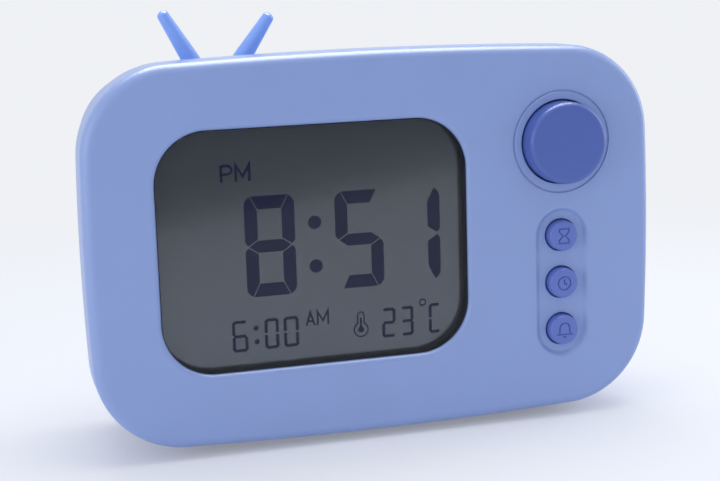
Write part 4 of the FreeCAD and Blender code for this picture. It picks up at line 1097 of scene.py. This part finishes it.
def eyeRays(tree):
    # 1 for what is seen straight on, mirrored or through glass, and 0 for light that falls on the clock
    path = addNode(tree, "ShaderNodeLightPath").outputs
    direct = addNode(tree, "ShaderNodeMath", {"operation": "MAXIMUM"},
                     {0: path["Is Camera Ray"], 1: path["Is Glossy Ray"]})
    return addNode(tree, "ShaderNodeMath", {"operation": "MAXIMUM"},
                   {0: direct.outputs[0], 1: path["Is Transmission Ray"]}).outputs[0]


def setWorld():
    world = bpy.data.worlds.new("studio")
    bpy.context.scene.world = world
    world.use_nodes = True
    tree = world.node_tree
    sky = tree.nodes["Background"]
    seen = eyeRays(tree)
    tones = {"data_type": "RGBA", 6: toLinear(studio["skylight"]), 7: toLinear(studio["backdrop"])}
    tint = addNode(tree, "ShaderNodeMix", tones, {"Factor": seen})
    tree.links.new(tint.outputs[2], sky.inputs["Color"])
    level = addNode(tree, "ShaderNodeMapRange", {"To Min": studio["sky"], "To Max": 1.0}, {"Value": seen})
    tree.links.new(level.outputs["Result"], sky.inputs["Strength"])


def softBox(name, height):
    # An area lamp with this name's power, size and place, aimed at the clock at this height
    data = bpy.data.lights.new(name + "Box", "AREA")
    data.shape = "RECTANGLE"
    data.size, data.size_y = [side * mm for side in studio[name + "Size"]]
    data.energy = studio[name + "Power"]
    lamp = addObject(name + "Box", data)
    spot = Vector(studio[name + "Place"])
    lamp.location = spot * mm
    lamp.rotation_euler = (Vector((0, 0, height)) - spot).to_track_quat("-Z", "Y").to_euler()
    return lamp


def stageSheet(name, corners, material):
    # A flat sheet of the studio, from its corners
    data = bpy.data.meshes.new(name)
    data.from_pydata([Vector(corner) * mm for corner in corners], [], [range(len(corners))])
    data.materials.append(material)
    sheet = addObject(name, data)
    return sheet


def tableSheet():
    # Matt paper that fades into the backdrop away from the clock, where only the eye sees it; even beside
    # the clock a quarter of what the eye sees is the backdrop's glow, painted light that makes the clock's
    # shadow paler
    material, tree, shader, where = newMaterial("mattePaper", Roughness=0.9)
    shader.inputs["Base Color"].default_value = toLinear(studio["paper"])
    away = addNode(tree, "ShaderNodeVectorMath", {"operation": "LENGTH"}, {0: where})
    # fadeLeast is the share of backdrop glow right beside the clock, painted light over its shadow
    reach = {"interpolation_type": "SMOOTHSTEP", "From Min": studio["fadeStart"] * mm,
             "From Max": studio["fadeEnd"] * mm, "To Min": studio["fadeLeast"]}
    fade = addNode(tree, "ShaderNodeMapRange", reach, {"Value": away.outputs["Value"]})
    glow = addNode(tree, "ShaderNodeEmission", {"Color": toLinear(studio["backdrop"])})
    seen = addNode(tree, "ShaderNodeMath", {"operation": "MULTIPLY"},
                   {0: fade.outputs["Result"], 1: eyeRays(tree)})
    mix = addNode(tree, "ShaderNodeMixShader", None,
                  {0: seen.outputs[0], 1: shader.outputs[0], 2: glow.outputs[0]})
    tree.links.new(mix.outputs[0], tree.nodes["Material Output"].inputs["Surface"])
    far = studio["tableReach"]
    stageSheet("tableSheet", [(-far, -far, 0), (far, -far, 0), (far, far, 0), (-far, far, 0)], material)


# Dark card out of view in front of the clock, which only the polished faces mirror: a painted reflection
card = {"left": -60, "right": 300, "front": -330, "top": 260, "edge": 2.0, "slant": 0.133, "soft": 7.0,
        "grey": "#7d7f84"}


def darkCard():
    # A grey glow that only reflections see, painting the darker upper part of the window; its lower edge is
    # slanted and fades, as that darker part does
    material, tree, shader, where = newMaterial("paintedReflectionGrey")
    tree.nodes.remove(shader)
    spot = addNode(tree, "ShaderNodeSeparateXYZ", None, {"Vector": where}).outputs
    rise = addNode(tree, "ShaderNodeMath", {"operation": "MULTIPLY", 1: -card["slant"]}, {0: spot["X"]})
    height = addNode(tree, "ShaderNodeMath", {"operation": "ADD"}, {0: spot["Z"], 1: rise.outputs[0]})
    edge = {"interpolation_type": "SMOOTHSTEP", "From Min": (card["edge"] - card["soft"]) * mm,
            "From Max": (card["edge"] + card["soft"]) * mm}
    dark = addNode(tree, "ShaderNodeMapRange", edge, {"Value": height.outputs[0]})
    clear = addNode(tree, "ShaderNodeBsdfTransparent")
    # The card glows grey: a painted reflection, not a lamp
    reflectedGrey = addNode(tree, "ShaderNodeEmission", {"Color": toLinear(card["grey"]), "Strength": 1.0})
    mix = addNode(tree, "ShaderNodeMixShader", None,
                  {0: dark.outputs["Result"], 1: clear.outputs[0], 2: reflectedGrey.outputs[0]})
    tree.links.new(mix.outputs[0], tree.nodes["Material Output"].inputs["Surface"])
    left, right, front, top = (card[key] for key in ("left", "right", "front", "top"))
    sheet = stageSheet("darkCard", [(left, front, 0), (right, front, 0), (right, front, top),
                                    (left, front, top)], material)
    sheet.visible_camera = sheet.visible_diffuse = False
    sheet.visible_shadow = sheet.visible_transmission = False


setWorld()
softBox("top", 40)
softBox("fill", 40)
softBox("rim", 50)
softBox("gloss", 60).visible_diffuse = False
tableSheet()
darkCard()
bpy.context.scene.view_settings.view_transform = "Standard"
print("stage and light done")

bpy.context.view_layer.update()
